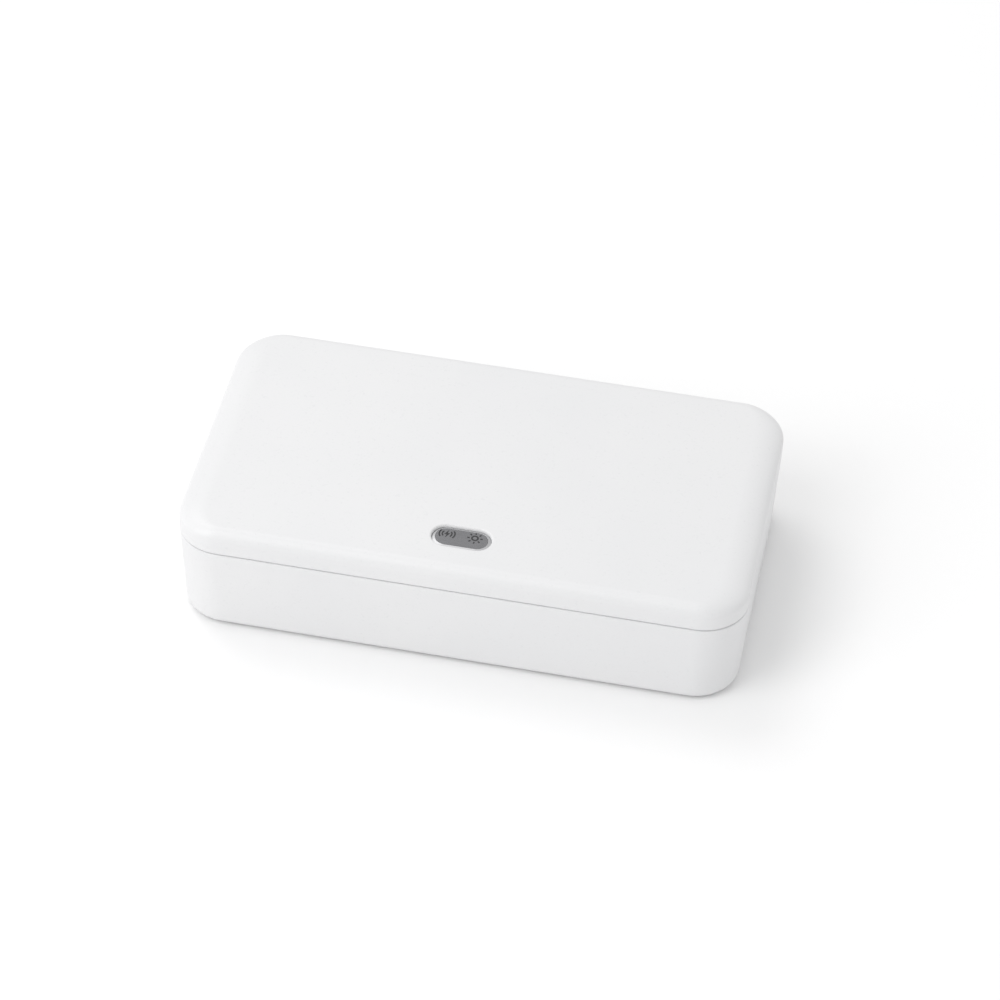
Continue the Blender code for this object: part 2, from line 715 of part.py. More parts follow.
def make_ribs():
    """Clear bars across the chamber, with a raised horn at each end that centres the load."""
    reach = CHAMBER_Y - RIB_SIDE_MARGIN
    top = RIB_HEIGHT
    half = [
        (0.0, top),
        (reach - RIB_HORN_LENGTH - RIB_HORN, top),
        (reach - RIB_HORN_LENGTH, top + RIB_HORN),
        (reach, top + RIB_HORN),
        (reach, 0.0),
    ]
    outline = half + [(-y, z) for y, z in reversed(half[1:])]
    span = CHAMBER_X - RIB_MARGIN
    for index in range(RIB_COUNT):
        x = -span + 2 * span * index / (RIB_COUNT - 1)
        curve = bpy.data.curves.new("support_rib", "CURVE")
        curve.dimensions = "2D"
        curve.fill_mode = "BOTH"
        curve.extrude = RIB_THICKNESS / 2
        line = curve.splines.new("POLY")
        line.points.add(len(outline) - 1)
        for point, (y, z) in zip(line.points, outline):
            point.co = (y, z, 0.0, 1.0)
        line.use_cyclic_u = True
        rib = bpy.data.objects.new("support_rib_" + str(index + 1), curve)
        PARTS.objects.link(rib)
        rib.rotation_euler = (math.radians(90), 0, math.radians(90))
        rib.location = (x, 0, CHAMBER_FLOOR_Z + GAP)
        rib.parent = BASE
        paint(rib, CLEAR_PLASTIC)


def make_screws(prefix, seat_z, head_radius, head_height, length, carrier):
    """Pan-head screws that point up from a seat, each with a cross recess in its head."""
    shoulder = head_height / 3
    profile = [
        (0.0, length),
        (SCREW_RADIUS / 2, length),
        (SCREW_RADIUS, length - SCREW_RADIUS),
        (SCREW_RADIUS, -GAP),
        (head_radius, -GAP),
        (head_radius, shoulder - head_height),
        (head_radius - shoulder, -head_height),
        (0.0, -head_height),
    ]
    slot_length = head_radius * 1.2
    slot_width = head_radius * 0.28
    for name, x, y in CORNERS:
        shape = bmesh.new()
        points = [shape.verts.new((radius, 0, z)) for radius, z in profile]
        for first, second in zip(points, points[1:]):
            shape.edges.new((first, second))
        made = add_object(prefix + "_screw_" + name, shape, PARTS)
        turn = made.modifiers.new("turned", "SCREW")
        turn.steps = SMALL_STEPS
        turn.render_steps = SMALL_STEPS
        turn.use_merge_vertices = True
        turn.merge_threshold = 0.00001
        turn.use_smooth_shade = False
        made.location = Vector((x, y, seat_z)) - carrier.location
        made.parent = carrier
        paint(made, STEEL)
        face = (x, y, seat_z - head_height)
        cut(made, "slot_across", blocks([(face, (slot_length, slot_width, head_height))]))
        cut(made, "slot_along", blocks([(face, (slot_width, slot_length, head_height))]))


def make_feet():
    for name, x, y in CORNERS:
        shape = bmesh.new()
        chamfer = FOOT_HEIGHT / 4
        add_rod(shape, FOOT_RADIUS - chamfer, (x, y, 0), (x, y, chamfer), end_radius=FOOT_RADIUS)
        caps = [f for f in shape.faces if f.calc_center_median().z > chamfer * 0.9]
        pushed = bmesh.ops.extrude_discrete_faces(shape, faces=caps)["faces"]
        bmesh.ops.translate(shape, verts=pushed[0].verts[:], vec=(0, 0, FOOT_HEIGHT - chamfer))
        add_part("foot_" + name, shape, RUBBER, BASE, smooth=True)


def make_magnets():
    for name, side in SIDES:
        x = side * MAGNET_FROM_CENTRE
        for prefix, low, carrier in (("base", BASE_MAGNET_Z, BASE), ("lid", LID_MAGNET_Z, LID)):
            shape = rods([(MAGNET_RADIUS, (x, MAGNET_Y, low), (x, MAGNET_Y, low + MAGNET_HEIGHT))])
            add_part(prefix + "_catch_magnet_" + name, shape, NICKEL, carrier, smooth=True)


def make_lead(name, side, carrier):
    """Half of the lead to the lid, from its pocket through the window to the middle of the barrel."""
    bend = KNUCKLE_RADIUS
    route = [
        Vector((side * (LEAD_WINDOW[1] + 4.0 * bend), RAIL_Y - 1.3 * bend, SEAM_Z + side * 2.2 * bend)),
        Vector((side * (LEAD_WINDOW[1] + 2.0 * bend), RAIL_Y - 1.25 * bend, SEAM_Z + side * 1.9 * bend)),
        Vector((side * (LEAD_WINDOW[1] + 0.2 * bend), RAIL_Y - 0.8 * bend, SEAM_Z + side * 1.5 * bend)),
        Vector((side * (LEAD_WINDOW[1] - 1.3 * bend), HINGE_Y - 0.95 * bend, SEAM_Z + side * 0.75 * bend)),
        Vector((side * (LEAD_WINDOW[0] + 0.7 * bend), HINGE_Y - 0.15 * bend, SEAM_Z + side * 0.12 * bend)),
        Vector((side * (LEAD_WINDOW[0] - 0.5 * bend), HINGE_Y, SEAM_Z)),
        Vector((side * GAP, HINGE_Y, SEAM_Z)),
    ]
    curve = bpy.data.curves.new(name, "CURVE")
    curve.dimensions = "3D"
    curve.bevel_depth = LEAD_RADIUS
    curve.bevel_resolution = 2
    curve.use_fill_caps = True
    points = smooth_points(route, 4)
    line = curve.splines.new("POLY")
    line.points.add(len(points) - 1)
    for point, place in zip(line.points, points):
        point.co = (*(place - carrier.location), 1.0)
    made = bpy.data.objects.new(name, curve)
    PARTS.objects.link(made)
    made.parent = carrier
    paint(made, LEAD_JACKET)


def smooth_points(route, steps):
    """Points on a smooth curve through the route, with steps points to each of its stretches."""
    ends = [2 * route[0] - route[1]] + route + [2 * route[-1] - route[-2]]
    points = []
    for before, start, end, after in zip(ends, ends[1:], ends[2:], ends[3:]):
        for index in range(steps):
            t = index / steps
            points.append(
                0.5 * (2 * start + (end - before) * t + (2 * before - 5 * start + 4 * end - after) * t ** 2
                       + (3 * start - before - 3 * end + after) * t ** 3)
            )
    return points + [route[-1]]


def make_hinge_pins():
    for name, inner, outer in pin_spans():
        direction = math.copysign(1, outer)
        start = (inner, HINGE_Y, SEAM_Z)
        end = (outer - direction * GAP, HINGE_Y, SEAM_Z)
        add_part("hinge_pin_" + name, rods([(PIN_RADIUS, start, end)], SMALL_STEPS), STEEL, BASE, smooth=True)


def make_base_electronics():
    main_size = (MAIN_BOARD_LENGTH, main_board_depth(), BOARD_THICKNESS)
    board("main_board", (0, MAIN_BOARD_Y, BOARD_Z), main_size, CIRCUIT, BASE)
    top = BOARD_Z + BOARD_THICKNESS + GAP
    board("transformer", (-MAIN_BOARD_LENGTH / 4, MAIN_BOARD_Y, top), TRANSFORMER, DARK_PLASTIC, BASE)
    for index in range(2):
        x = MAIN_BOARD_LENGTH / 4 + index * CAPACITOR_PITCH
        low = (x, MAIN_BOARD_Y, top)
        high = (x, MAIN_BOARD_Y, top + CAPACITOR_HEIGHT)
        shape = rods([(CAPACITOR_RADIUS, low, high)])
        add_part("capacitor_" + str(index + 1), shape, ALUMINIUM, BASE, smooth=True)
    inverter_size = (*INVERTER_BOARD, BOARD_THICKNESS)
    board("inverter_board", (INVERTER_X, 0, BOARD_Z), inverter_size, CIRCUIT, BASE)
    board("inverter_transformer", (INVERTER_X, 0, top), INVERTER_TRANSFORMER, DARK_PLASTIC, BASE)
    make_usb_inlet()
    under_flange = BASE_FLANGE_Z - FLANGE - GAP
    sensor_z = under_flange - HALL_SENSOR[2]
    board("hall_sensor", (SENSOR_X, MAGNET_Y, sensor_z), HALL_SENSOR, DARK_PLASTIC, BASE)
    board("sensor_board", (SENSOR_X, MAGNET_Y, sensor_z - GAP - SENSOR_BOARD[2]), SENSOR_BOARD, CIRCUIT, BASE)


def main_board_depth():
    """The main board's depth, between the chamber's liner and the back wall."""
    back = DEPTH / 2 - WALL - base_inset(BOARD_Z)
    return back - (CHAMBER_Y + LINER_SKIN) - 2 * BOARD_MARGIN


def make_usb_inlet():
    """A metal shroud round a contact tongue, open towards the back."""
    face = DEPTH / 2 - base_inset(USB_Z) - GAP
    near = face - USB_LENGTH
    shape = bmesh.new()
    add_usb_pill(shape, USB_WIDTH / 2, USB_HEIGHT, near, face)
    inlet = add_part("usb_inlet", shape, STEEL, BASE, smooth=True)
    hollow = bmesh.new()
    back_wall = near + 3 * USB_WALL
    add_usb_pill(hollow, USB_WIDTH / 2 - USB_WALL, USB_HEIGHT - 2 * USB_WALL, back_wall, face + OVER)
    cut(inlet, "mouth", hollow)
    tongue_y = back_wall + USB_TONGUE[1] / 2
    join(inlet, "tongue", blocks([
        ((0, tongue_y - USB_WALL, USB_Z), (USB_TONGUE[0], USB_TONGUE[1] + USB_WALL, USB_TONGUE[2]))
    ]))


def make_charger():
    disc = bmesh.new()
    add_rod(disc, COIL_RADIUS, (0, 0, COIL_Z), (0, 0, COIL_Z + COIL_THICKNESS), 2 * ROUND_STEPS)
    coil = add_part("charging_coil", disc, COPPER, LID, smooth=True)
    cut(coil, "middle", rods([(COIL_HOLE, (0, 0, COIL_Z - OVER), (0, 0, COIL_Z + OVER + COIL_THICKNESS))]))
    disc = bmesh.new()
    add_rod(disc, FERRITE_RADIUS, (0, 0, FERRITE_Z), (0, 0, FERRITE_Z + FERRITE_THICKNESS), 2 * ROUND_STEPS)
    add_part("ferrite_sheet", disc, FERRITE, LID, smooth=True)
    low = CEILING_Z + LID_SKIN + GAP
    x = FERRITE_RADIUS + GAP + CHARGER_BOARD[0] / 2
    y = TROUGH_WIDTH / 2 + TROUGH_SKIN + GAP + CHARGER_BOARD[1] / 2
    board("charger_board", (x, y, low), CHARGER_BOARD, CIRCUIT, LID)
    top = low + CHARGER_BOARD[2] + GAP
    board("charger_chip", (x - CHARGER_CHIP[0], y, top), CHARGER_CHIP, DARK_PLASTIC, LID)
    centre = x + 2 * INDUCTOR_RADIUS
    shape = rods([(INDUCTOR_RADIUS, (centre, y, top), (centre, y, top + INDUCTOR_HEIGHT))])
    add_part("charger_inductor", shape, DARK_PLASTIC, LID, smooth=True)
    low = LID_FLANGE_Z + GAP
    shape = rods(
        [(SENSOR_MAGNET_RADIUS, (SENSOR_X, MAGNET_Y, low), (SENSOR_X, MAGNET_Y, low + SENSOR_MAGNET_HEIGHT))],
        SMALL_STEPS,
    )
    add_part("sensor_magnet", shape, NICKEL, LID, smooth=True)


def make_button():
    """The cap, its retaining flange under the lid's top, and the pieces that move with it."""
    shape = bmesh.new()
    add_pill(
        shape, BUTTON_LENGTH, BUTTON_WIDTH, CAP_LOW_Z + BUTTON_FLANGE / 2, CAP_TOP_Z - BUTTON_CHAMFER,
        (BUTTON_X, BUTTON_Y),
    )
    cap = add_part("button_cap", shape, GREY_METAL, BUTTON, smooth=True)
    crown = bmesh.new()
    add_pill(
        crown, BUTTON_LENGTH - 2 * BUTTON_CHAMFER, BUTTON_WIDTH - 2 * BUTTON_CHAMFER,
        CAP_TOP_Z - BUTTON_CHAMFER - OVER, CAP_TOP_Z, (BUTTON_X, BUTTON_Y),
    )
    join(cap, "crown", crown)
    flange = bmesh.new()
    add_pill(
        flange, BUTTON_LENGTH + 2 * BUTTON_FLANGE_WIDTH, BUTTON_WIDTH + 2 * BUTTON_FLANGE_WIDTH, CAP_LOW_Z,
        CAP_LOW_Z + BUTTON_FLANGE, (BUTTON_X, BUTTON_Y),
    )
    join(cap, "flange", flange)
    roof = CAP_TOP_Z - BUTTON_SKIN
    cut(cap, "light_wells", rods(
        [(LIGHT_PIPE_RADIUS + GAP, (x, BUTTON_Y, CAP_LOW_Z - OVER), (x, BUTTON_Y, roof)) for x in LIGHT_X]
    ))
    for name, x in zip(("charge", "lamp"), LIGHT_X):
        pipe = rods([(LIGHT_PIPE_RADIUS, (x, BUTTON_Y, CAP_LOW_Z), (x, BUTTON_Y, roof - GAP))], SMALL_STEPS)
        add_part("light_pipe_" + name, pipe, CLEAR_PLASTIC, BUTTON, smooth=True)
    low = (BUTTON_X, BUTTON_Y, BUTTON_BOARD_TOP_Z + BUTTON_TRAVEL + GAP)
    high = (BUTTON_X, BUTTON_Y, CAP_LOW_Z - GAP)
    plunger = rods([(PLUNGER_RADIUS, low, high)], SMALL_STEPS)
    add_part("switch_plunger", plunger, DARK_PLASTIC, BUTTON, smooth=True)


def make_button_board():
    low = BUTTON_BOARD_TOP_Z - BUTTON_BOARD[2]
    board("button_board", (BUTTON_X, BUTTON_Y, low), BUTTON_BOARD, CIRCUIT, LID)
    top = BUTTON_BOARD_TOP_Z + GAP
    switch_size = (SWITCH_SIZE, SWITCH_SIZE, SWITCH_HEIGHT)
    switch = board("tact_switch", (BUTTON_X, BUTTON_Y, top), switch_size, DARK_PLASTIC, LID)
    low = (BUTTON_X, BUTTON_Y, top - OVER)
    high = (BUTTON_X, BUTTON_Y, top + SWITCH_HEIGHT + OVER)
    cut(switch, "plunger_well", rods([(PLUNGER_RADIUS + GAP, low, high)], SMALL_STEPS))
    for name, x in zip(("charge", "lamp"), LIGHT_X):
        board("led_" + name, (x, BUTTON_Y, top), LED_SIZE, CLEAR_PLASTIC, LID)


# Places that several pieces share
SCREW_SEAT_Z = FOOT_HEIGHT + 2 * GAP + SCREW_HEAD_HEIGHT + SCREW_CLAMP
BASE_BOSS_Z = SCREW_SEAT_Z + STANDOFF_TOP
LID_SCREW_Z = LID_BOTTOM_Z + LID_SCREW_HEAD_HEIGHT + GAP
LID_BOSS_Z = LID_SCREW_Z + SCREW_CLAMP + GAP
BASE_MAGNET_Z = BASE_FLANGE_Z - MAGNET_HEIGHT
LID_MAGNET_Z = LID_BOTTOM_Z
BOARD_Z = FLOOR_Z + BOARD_LIFT
MAIN_BOARD_Y = (CHAMBER_Y + LINER_SKIN + DEPTH / 2 - WALL - base_inset(BOARD_Z)) / 2
INVERTER_X = (CHAMBER_X + LINER_SKIN + WIDTH / 2 - WALL - base_inset(BOARD_Z)) / 2
USB_Z = BOARD_Z + BOARD_THICKNESS + GAP + USB_HEIGHT / 2
BUTTON_BOARD_TOP_Z = CEILING_Z + LID_SKIN + GAP + BUTTON_BOARD[2]
CAP_TOP_Z = HEIGHT - BUTTON_SINK
CAP_LOW_Z = LID_INNER_Z - GAP - BUTTON_FLANGE
LOWER_LAMP_Z = TROUGH_Z + GAP + LAMP_CAP_WALL + GAP + LAMP_RADIUS
UPPER_LAMP_Z = LID_TROUGH_Z - GAP - LAMP_CAP_WALL - GAP - LAMP_RADIUS

for old in list(bpy.context.scene.objects):
    bpy.data.objects.remove(old, do_unlink=True)

PARTS = new_collection("uv_sterilizer_cabinet")
CUTTERS = new_collection("cutters")
BASE = new_empty("base_frame", Vector((0, 0, 0)))
LID = new_empty("lid_hinge_axis", Vector((0, HINGE_Y, SEAM_Z)))
BUTTON = new_empty("button_axis", Vector((BUTTON_X, BUTTON_Y, CAP_TOP_Z)))

WHITE_PLASTIC = new_material("white_plastic", (0.83, 0.83, 0.84), 0.4)
MIRROR_LINER = new_material("mirror_liner", (0.82, 0.83, 0.85), 0.12, 1.0)
GREY_METAL = new_material("grey_metal", (0.36, 0.36, 0.37), 0.3, 1.0)
CLEAR_PLASTIC = new_material("clear_plastic", (0.9, 0.95, 0.97), 0.08, 0.0, 0.9)
QUARTZ = new_material("quartz", (0.9, 0.92, 1.0), 0.03, 0.0, 0.8)
CIRCUIT = new_material("circuit_board", (0.03, 0.20, 0.09), 0.45)
DARK_PLASTIC = new_material("dark_plastic", (0.03, 0.03, 0.035), 0.5)
STEEL = new_material("steel", (0.55, 0.56, 0.58), 0.3, 1.0)
NICKEL = new_material("nickel", (0.68, 0.66, 0.62), 0.18, 1.0)
ALUMINIUM = new_material("aluminium", (0.75, 0.76, 0.78), 0.3, 1.0)
COPPER = new_material("copper_coil", (0.72, 0.33, 0.16), 0.35, 1.0)
FERRITE = new_material("ferrite", (0.05, 0.05, 0.055), 0.7)
RUBBER = new_material("rubber", (0.55, 0.55, 0.56), 0.85)
LEAD_JACKET = new_material("lead_jacket", (0.06, 0.06, 0.065), 0.55)

make_base_shell()
make_base_liner()
make_lamp("lower", LOWER_LAMP_Z, BASE)
make_ribs()
make_base_electronics()
make_hinge_pins()
make_feet()
make_screws("base", SCREW_SEAT_Z, SCREW_HEAD_RADIUS, SCREW_HEAD_HEIGHT, BASE_SCREW_LENGTH, BASE)
make_lead("lid_lead_lower", -1, BASE)
make_lid_shell()
make_lid_liner()
make_lamp("upper", UPPER_LAMP_Z, LID)
make_charger()
make_button_board()
make_screws("lid", LID_SCREW_Z, LID_SCREW_HEAD_RADIUS, LID_SCREW_HEAD_HEIGHT, LID_SCREW_LENGTH, LID)
make_magnets()
make_lead("lid_lead_upper", 1, LID)
make_button()
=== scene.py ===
"""Looks of the UV steriliser box: fine surfaces, materials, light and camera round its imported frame.

Metres, +Z up.  The button side is -Y and the hinge side is +Y.
"""

import json
import math

import bmesh
import bpy
from mathutils import Matrix, Vector


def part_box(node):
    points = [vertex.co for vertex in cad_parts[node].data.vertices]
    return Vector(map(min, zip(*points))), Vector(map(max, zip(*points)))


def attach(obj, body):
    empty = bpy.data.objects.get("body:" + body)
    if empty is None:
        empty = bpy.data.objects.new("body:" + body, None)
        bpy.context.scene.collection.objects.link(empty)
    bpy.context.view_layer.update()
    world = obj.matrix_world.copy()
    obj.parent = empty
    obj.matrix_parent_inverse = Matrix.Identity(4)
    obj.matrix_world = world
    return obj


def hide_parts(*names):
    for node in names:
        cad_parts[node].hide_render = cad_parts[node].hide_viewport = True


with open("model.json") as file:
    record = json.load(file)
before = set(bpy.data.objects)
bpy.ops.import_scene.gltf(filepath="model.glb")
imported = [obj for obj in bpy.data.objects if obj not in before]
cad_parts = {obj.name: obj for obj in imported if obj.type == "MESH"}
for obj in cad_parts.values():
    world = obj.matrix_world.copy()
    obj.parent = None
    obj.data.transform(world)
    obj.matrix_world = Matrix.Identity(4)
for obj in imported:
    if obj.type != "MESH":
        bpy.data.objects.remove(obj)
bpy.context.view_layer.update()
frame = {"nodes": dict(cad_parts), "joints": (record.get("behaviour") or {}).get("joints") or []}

# Places and outer sizes, read from the frame
HINGE_Y, SEAM_Z = next(joint for joint in frame["joints"] if joint["type"] == "hinge")["pos_m"][1:]
HALF_X, HALF_Y, TOP_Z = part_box("lid_shell")[1]
LID_BOTTOM_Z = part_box("lid_liner")[0].z
BASE_TOP_Z = 2 * SEAM_Z - LID_BOTTOM_Z
STAND_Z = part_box("base_shell")[0].z
LIP_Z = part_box("base_liner")[1].z
CAP_LOW, CAP_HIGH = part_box("button_cap")
BUTTON_X = (CAP_LOW.x + CAP_HIGH.x) / 2
BUTTON_Y = (CAP_LOW.y + CAP_HIGH.y) / 2
FOOT_R = (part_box("foot_front_left")[1].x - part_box("foot_front_left")[0].x) / 2

# Case
MM = 0.001
GAP = 0.3 * MM
OVER = 1.0 * MM
CORNER = 18.5 * MM
TOP_FILLET = 5.0 * MM
END_SHOULDER = 12.0 * MM
BOTTOM_FILLET = 3.0 * MM
DRAFT = 1.6 * MM
WALL = 2.0 * MM
FLOOR_Z = STAND_Z + 2.0 * MM
LID_INNER_Z = TOP_Z - 1.8 * MM
INNER_FILLET = 3.0 * MM
SEAM_ROUND = 0.8 * MM
LID_ROUND = 0.5 * MM
TONGUE_INSET = 1.0 * MM
RIM_ROUND = 0.2 * MM
FOOT_RECESS_Z = 1.9 * MM

# Liners
CHAMBER_X = 95.0 * MM
CHAMBER_Y = 48.0 * MM
CHAMBER_CORNER = 10.0 * MM
LINER_SKIN = 1.2 * MM
LID_SKIN = 0.9 * MM
FLANGE = 1.2 * MM
LIP_CLEARANCE = 0.6 * MM
CHAMBER_FLOOR_Z = 11.0 * MM
HORN_HEIGHT = 3.0 * MM
HORN_RAMP = (8.0 * MM, 5.0 * MM)
CHAMBER_FILLET = 2.4 * MM
CEILING_Z = 44.0 * MM
CEILING_FILLET = 1.6 * MM
TROUGH_X = 83.0 * MM
TROUGH_HALF = 7.0 * MM
TROUGH_Z = 5.5 * MM
LID_TROUGH_Z = 45.9 * MM
TROUGH_FILLET = 3.4 * MM
TROUGH_CORNER = 3.6 * MM
TROUGH_LIP = 0.8 * MM
LID_TROUGH_SKIN = 0.7 * MM
CUP_WALL = 0.9 * MM
LINER_EDGE = 0.35 * MM
LINER_FOLD = 0.5 * MM

# Hinge
STATION_X = 60.0 * MM
KNUCKLE_R = 3.0 * MM
PIN_R = 1.0 * MM
LID_KNUCKLE = 12.0 * MM
BASE_KNUCKLE = 8.0 * MM
KNUCKLE_END = 1.0 * MM
RAIL_Y = HINGE_Y - KNUCKLE_R - 0.8 * MM
RAIL_HEIGHT = KNUCKLE_R + 3.5 * MM
BEVEL_ANGLE = math.radians(50)
LEAD_BARREL = 20.0 * MM
LEAD_WINDOW = (9.5 * MM, 19.0 * MM)
LEAD_RADIUS = 0.8 * MM
KNUCKLE_CHAMFER = 0.25 * MM

# Button
BUTTON_L = 23.6 * MM
BUTTON_W = 11.6 * MM
BUTTON_SLIT = 0.15 * MM
BUTTON_BEVEL = 1.2 * MM
BUTTON_BEVEL_DROP = 0.38 * MM
RECESS_ROUND = 0.9 * MM
ICON_RAISED = 0.03 * MM
ICON_SUNK = 0.05 * MM

# Fasteners and magnets
SCREW_INSET = 14.5 * MM
CORNERS = [
    (name, side * (HALF_X - SCREW_INSET), end * (HALF_Y - SCREW_INSET))
    for name, side, end in (
        ("front_left", -1, -1), ("front_right", 1, -1), ("rear_left", -1, 1), ("rear_right", 1, 1),
    )
]
SIDES = (("left", -1), ("right", 1))
SCREW_R = 1.25 * MM
SCREW_HEAD_R = 2.6 * MM
LID_HEAD_R = 2.2 * MM
BOSS_R = 1.7 * MM + SCREW_R + GAP
SCREW_SEAT_Z = 4.5 * MM
BASE_BOSS_Z = 8.5 * MM
LID_SCREW_Z = 41.5 * MM
LID_BOSS_Z = 42.8 * MM
BASE_HEAD_HEIGHT = 1.3 * MM
LID_HEAD_HEIGHT = 0.9 * MM
BASE_SCREW_LENGTH = 14.0 * MM
LID_SCREW_LENGTH = 5.5 * MM
THREAD_DEPTH = 0.22 * MM
THREAD_PITCH = 0.5 * MM
MAGNET_POCKET = 3.4 * MM + GAP
MAGNET_R = 2.5 * MM
MAGNET_X = 70.0 * MM
MAGNET_Y = -55.5 * MM
COIL_HOLE = 10.0 * MM
USB_Z = 9.0 * MM
USB_HALF = 4.45 * MM
USB_HEIGHT = 3.2 * MM
FACING_BACK = Matrix.Translation((0, 0, USB_Z)) @ Matrix.Rotation(math.radians(-90), 4, "X")

# Fineness
CORNER_STEPS = 24
FILLET_STEPS = 8
EDGE_STEPS = 3
ROUND = 64
COIL_STEPS = 72
SHARP = math.radians(32)
FLAT_WEIGHT = 60


# Light and camera; the camera's azimuth, elevation and roll were fitted to the photographed outline
SKY_STRENGTH = 0.79
LIGHT_DISTANCE = 2.0
LIGHT_SIZE = 1.2
CAMERA_TURN = (math.radians(9.794), math.radians(42.290), math.radians(2.179))
CAMERA_TARGET = Vector((0.0047, 0.0089, 0.025))
CAMERA_DISTANCE = 1.5471
CAMERA_LENS = 137.12
SENSOR_WIDTH = 36.0


# ---- shapes

def ring(half_x, half_y, corner, z):
    """Points round an upright rounded rectangle."""
    points = []
    for quarter, (side, end) in enumerate(((1, -1), (1, 1), (-1, 1), (-1, -1))):
        centre_x = side * (half_x - corner)
        centre_y = end * (half_y - corner)
        for step in range(CORNER_STEPS + 1):
            turn = math.radians(90 * (quarter - 1 + step / CORNER_STEPS))
            points.append(Vector((centre_x + corner * math.cos(turn), centre_y + corner * math.sin(turn), z)))
    return points


def arc(inset, z, radius, start, end, steps=FILLET_STEPS):
    """Points (inset, height) round a corner of a section; 0 degrees points outwards and 90 up."""
    turns = [math.radians(start + (end - start) * step / steps) for step in range(steps + 1)]
    return [(inset - radius * math.cos(turn), z + radius * math.sin(turn)) for turn in turns]


def loft(rings, around=False):
    """A surface through rings of equally many points, closed at its two ends or led back to its start."""
    shape = bmesh.new()
    rows = [[shape.verts.new(point) for point in points] for points in rings]
    for low, high in zip(rows, rows[1:] + (rows[:1] if around else [])):
        for index in range(len(low)):
            after = (index + 1) % len(low)
            shape.faces.new((low[index], low[after], high[after], high[index]))
    if not around:
        shape.faces.new(rows[0])
        shape.faces.new(rows[-1])
    bmesh.ops.recalc_face_normals(shape, faces=shape.faces)
    return shape


def case_inset(z):
    """How far the base's side stands in from its top edge at a height."""
    return DRAFT * (BASE_TOP_Z - z) / (BASE_TOP_Z - STAND_Z)


def base_loft(section):
    """A closed loft of the base's outline along a section of (inset, height) points."""
    rings = []
    for inset, z in section:
        edge = inset + case_inset(z)
        rings.append(ring(HALF_X - edge, HALF_Y - edge, max(CORNER - inset, MM), z))
    return loft(rings)


def lid_ring(inset, end_inset, z):
    """The lid's outline moved inwards by one inset along its long sides and another at its short ends."""
    corner_x = HALF_X - CORNER
    scale = (CORNER - end_inset) / (CORNER - inset)
    points = ring(HALF_X - inset, HALF_Y - inset, CORNER - inset, z)
    for point in points:
        beyond = abs(point.x) - corner_x
        if beyond > 0:
            point.x = math.copysign(corner_x + beyond * scale, point.x)
    return points


def plain_box(low, high):
    """A box between two corners."""
    shape = bmesh.new()
    low, high = Vector(low), Vector(high)
    bmesh.ops.create_cube(shape, size=1.0, matrix=Matrix.LocRotScale((low + high) / 2, None, high - low))
    return shape


def turned(profile, start, towards, steps=ROUND):
    """A turned body: (radius, distance) points from start along a direction, with a flat face at each end."""
    start = Vector(start)
    turn = Vector(towards).to_track_quat("Z", "Y").to_matrix()
    rings = []
    for radius, distance in profile:
        rings.append([
            start + turn @ Vector((radius * math.cos(a), radius * math.sin(a), distance))
            for a in (2 * math.pi * step / steps for step in range(steps))
        ])
    return loft(rings)


def pin(radius, start, end, chamfer=0.0, steps=ROUND):
    """A cylinder between two points, with chamfered ends if asked."""
    start, end = Vector(start), Vector(end)
    length = (end - start).length
    profile = [(radius, 0.0), (radius, length)]
    if chamfer:
        profile = [
            (radius - chamfer, 0.0), (radius - chamfer * 0.3, chamfer * 0.3), (radius, chamfer),
            (radius, length - chamfer), (radius - chamfer * 0.3, length - chamfer * 0.3),
            (radius - chamfer, length),
        ]
    return turned(profile, start, end - start, steps)


def merged(shapes):
    """One bmesh that holds several, which don't touch."""
    whole = bmesh.new()
    for shape in shapes:
        mesh = bpy.data.meshes.new("part")
        shape.to_mesh(mesh)
        shape.free()
        whole.from_mesh(mesh)
        bpy.data.meshes.remove(mesh)
    return whole


def pill_ring(half_length, half_width, centre, z, steps=20):
    """Points round a round-ended bar that lies along X."""
    straight = half_length - half_width
    points = []
    for side, first in ((1, -90), (-1, 90)):
        for step in range(steps + 1):
            turn = math.radians(first + 180 * step / steps)
            points.append(Vector((
                centre[0] + side * straight + half_width * math.cos(turn),
                centre[1] + half_width * math.sin(turn), z,
            )))
    return points


def pill_loft(section, half_length, half_width, centre, around=False):
    """A round-ended bar, or a round-ended hoop, with a section of (inset, height) points."""
    rings = [pill_ring(half_length - inset, half_width - inset, centre, z) for inset, z in section]
    return loft(rings, around)


def kept_behind(shape, plane_y):
    """Keep what lies behind an upright plane across Y, and close the cut."""
    geometry = shape.verts[:] + shape.edges[:] + shape.faces[:]
    bmesh.ops.bisect_plane(
        shape, geom=geometry, plane_co=(0, plane_y, 0), plane_no=(0, -1, 0), clear_outer=True,
    )
    bmesh.ops.holes_fill(shape, edges=[edge for edge in shape.edges if edge.is_boundary])
    return shape


# ---- pieces

def new_object(name, shape, closed=True):
    """An object from a bmesh, which this frees; the normals of a closed shape are turned outwards first."""
    mesh = bpy.data.meshes.new(name)
    if closed:
        bmesh.ops.recalc_face_normals(shape, faces=shape.faces)
    shape.to_mesh(mesh)
    shape.free()
    made = bpy.data.objects.new(name, mesh)
    bpy.context.scene.collection.objects.link(made)
    return made


def carve(made, steps):
    """Apply a list of ("cut" or "join", bmesh) to an object."""
    helpers = []
    for kind, shape in steps:
        helper = new_object("helper", shape)
        helpers.append(helper)
        step = made.modifiers.new("step", "BOOLEAN")
        step.operation = "DIFFERENCE" if kind == "cut" else "UNION"
        step.solver = "EXACT"
        step.object = helper
    bpy.context.view_layer.update()
    result = bpy.data.meshes.new_from_object(made.evaluated_get(bpy.context.evaluated_depsgraph_get()))
    made.modifiers.clear()
    made.data = result
    for helper in helpers:
        bpy.data.objects.remove(helper)


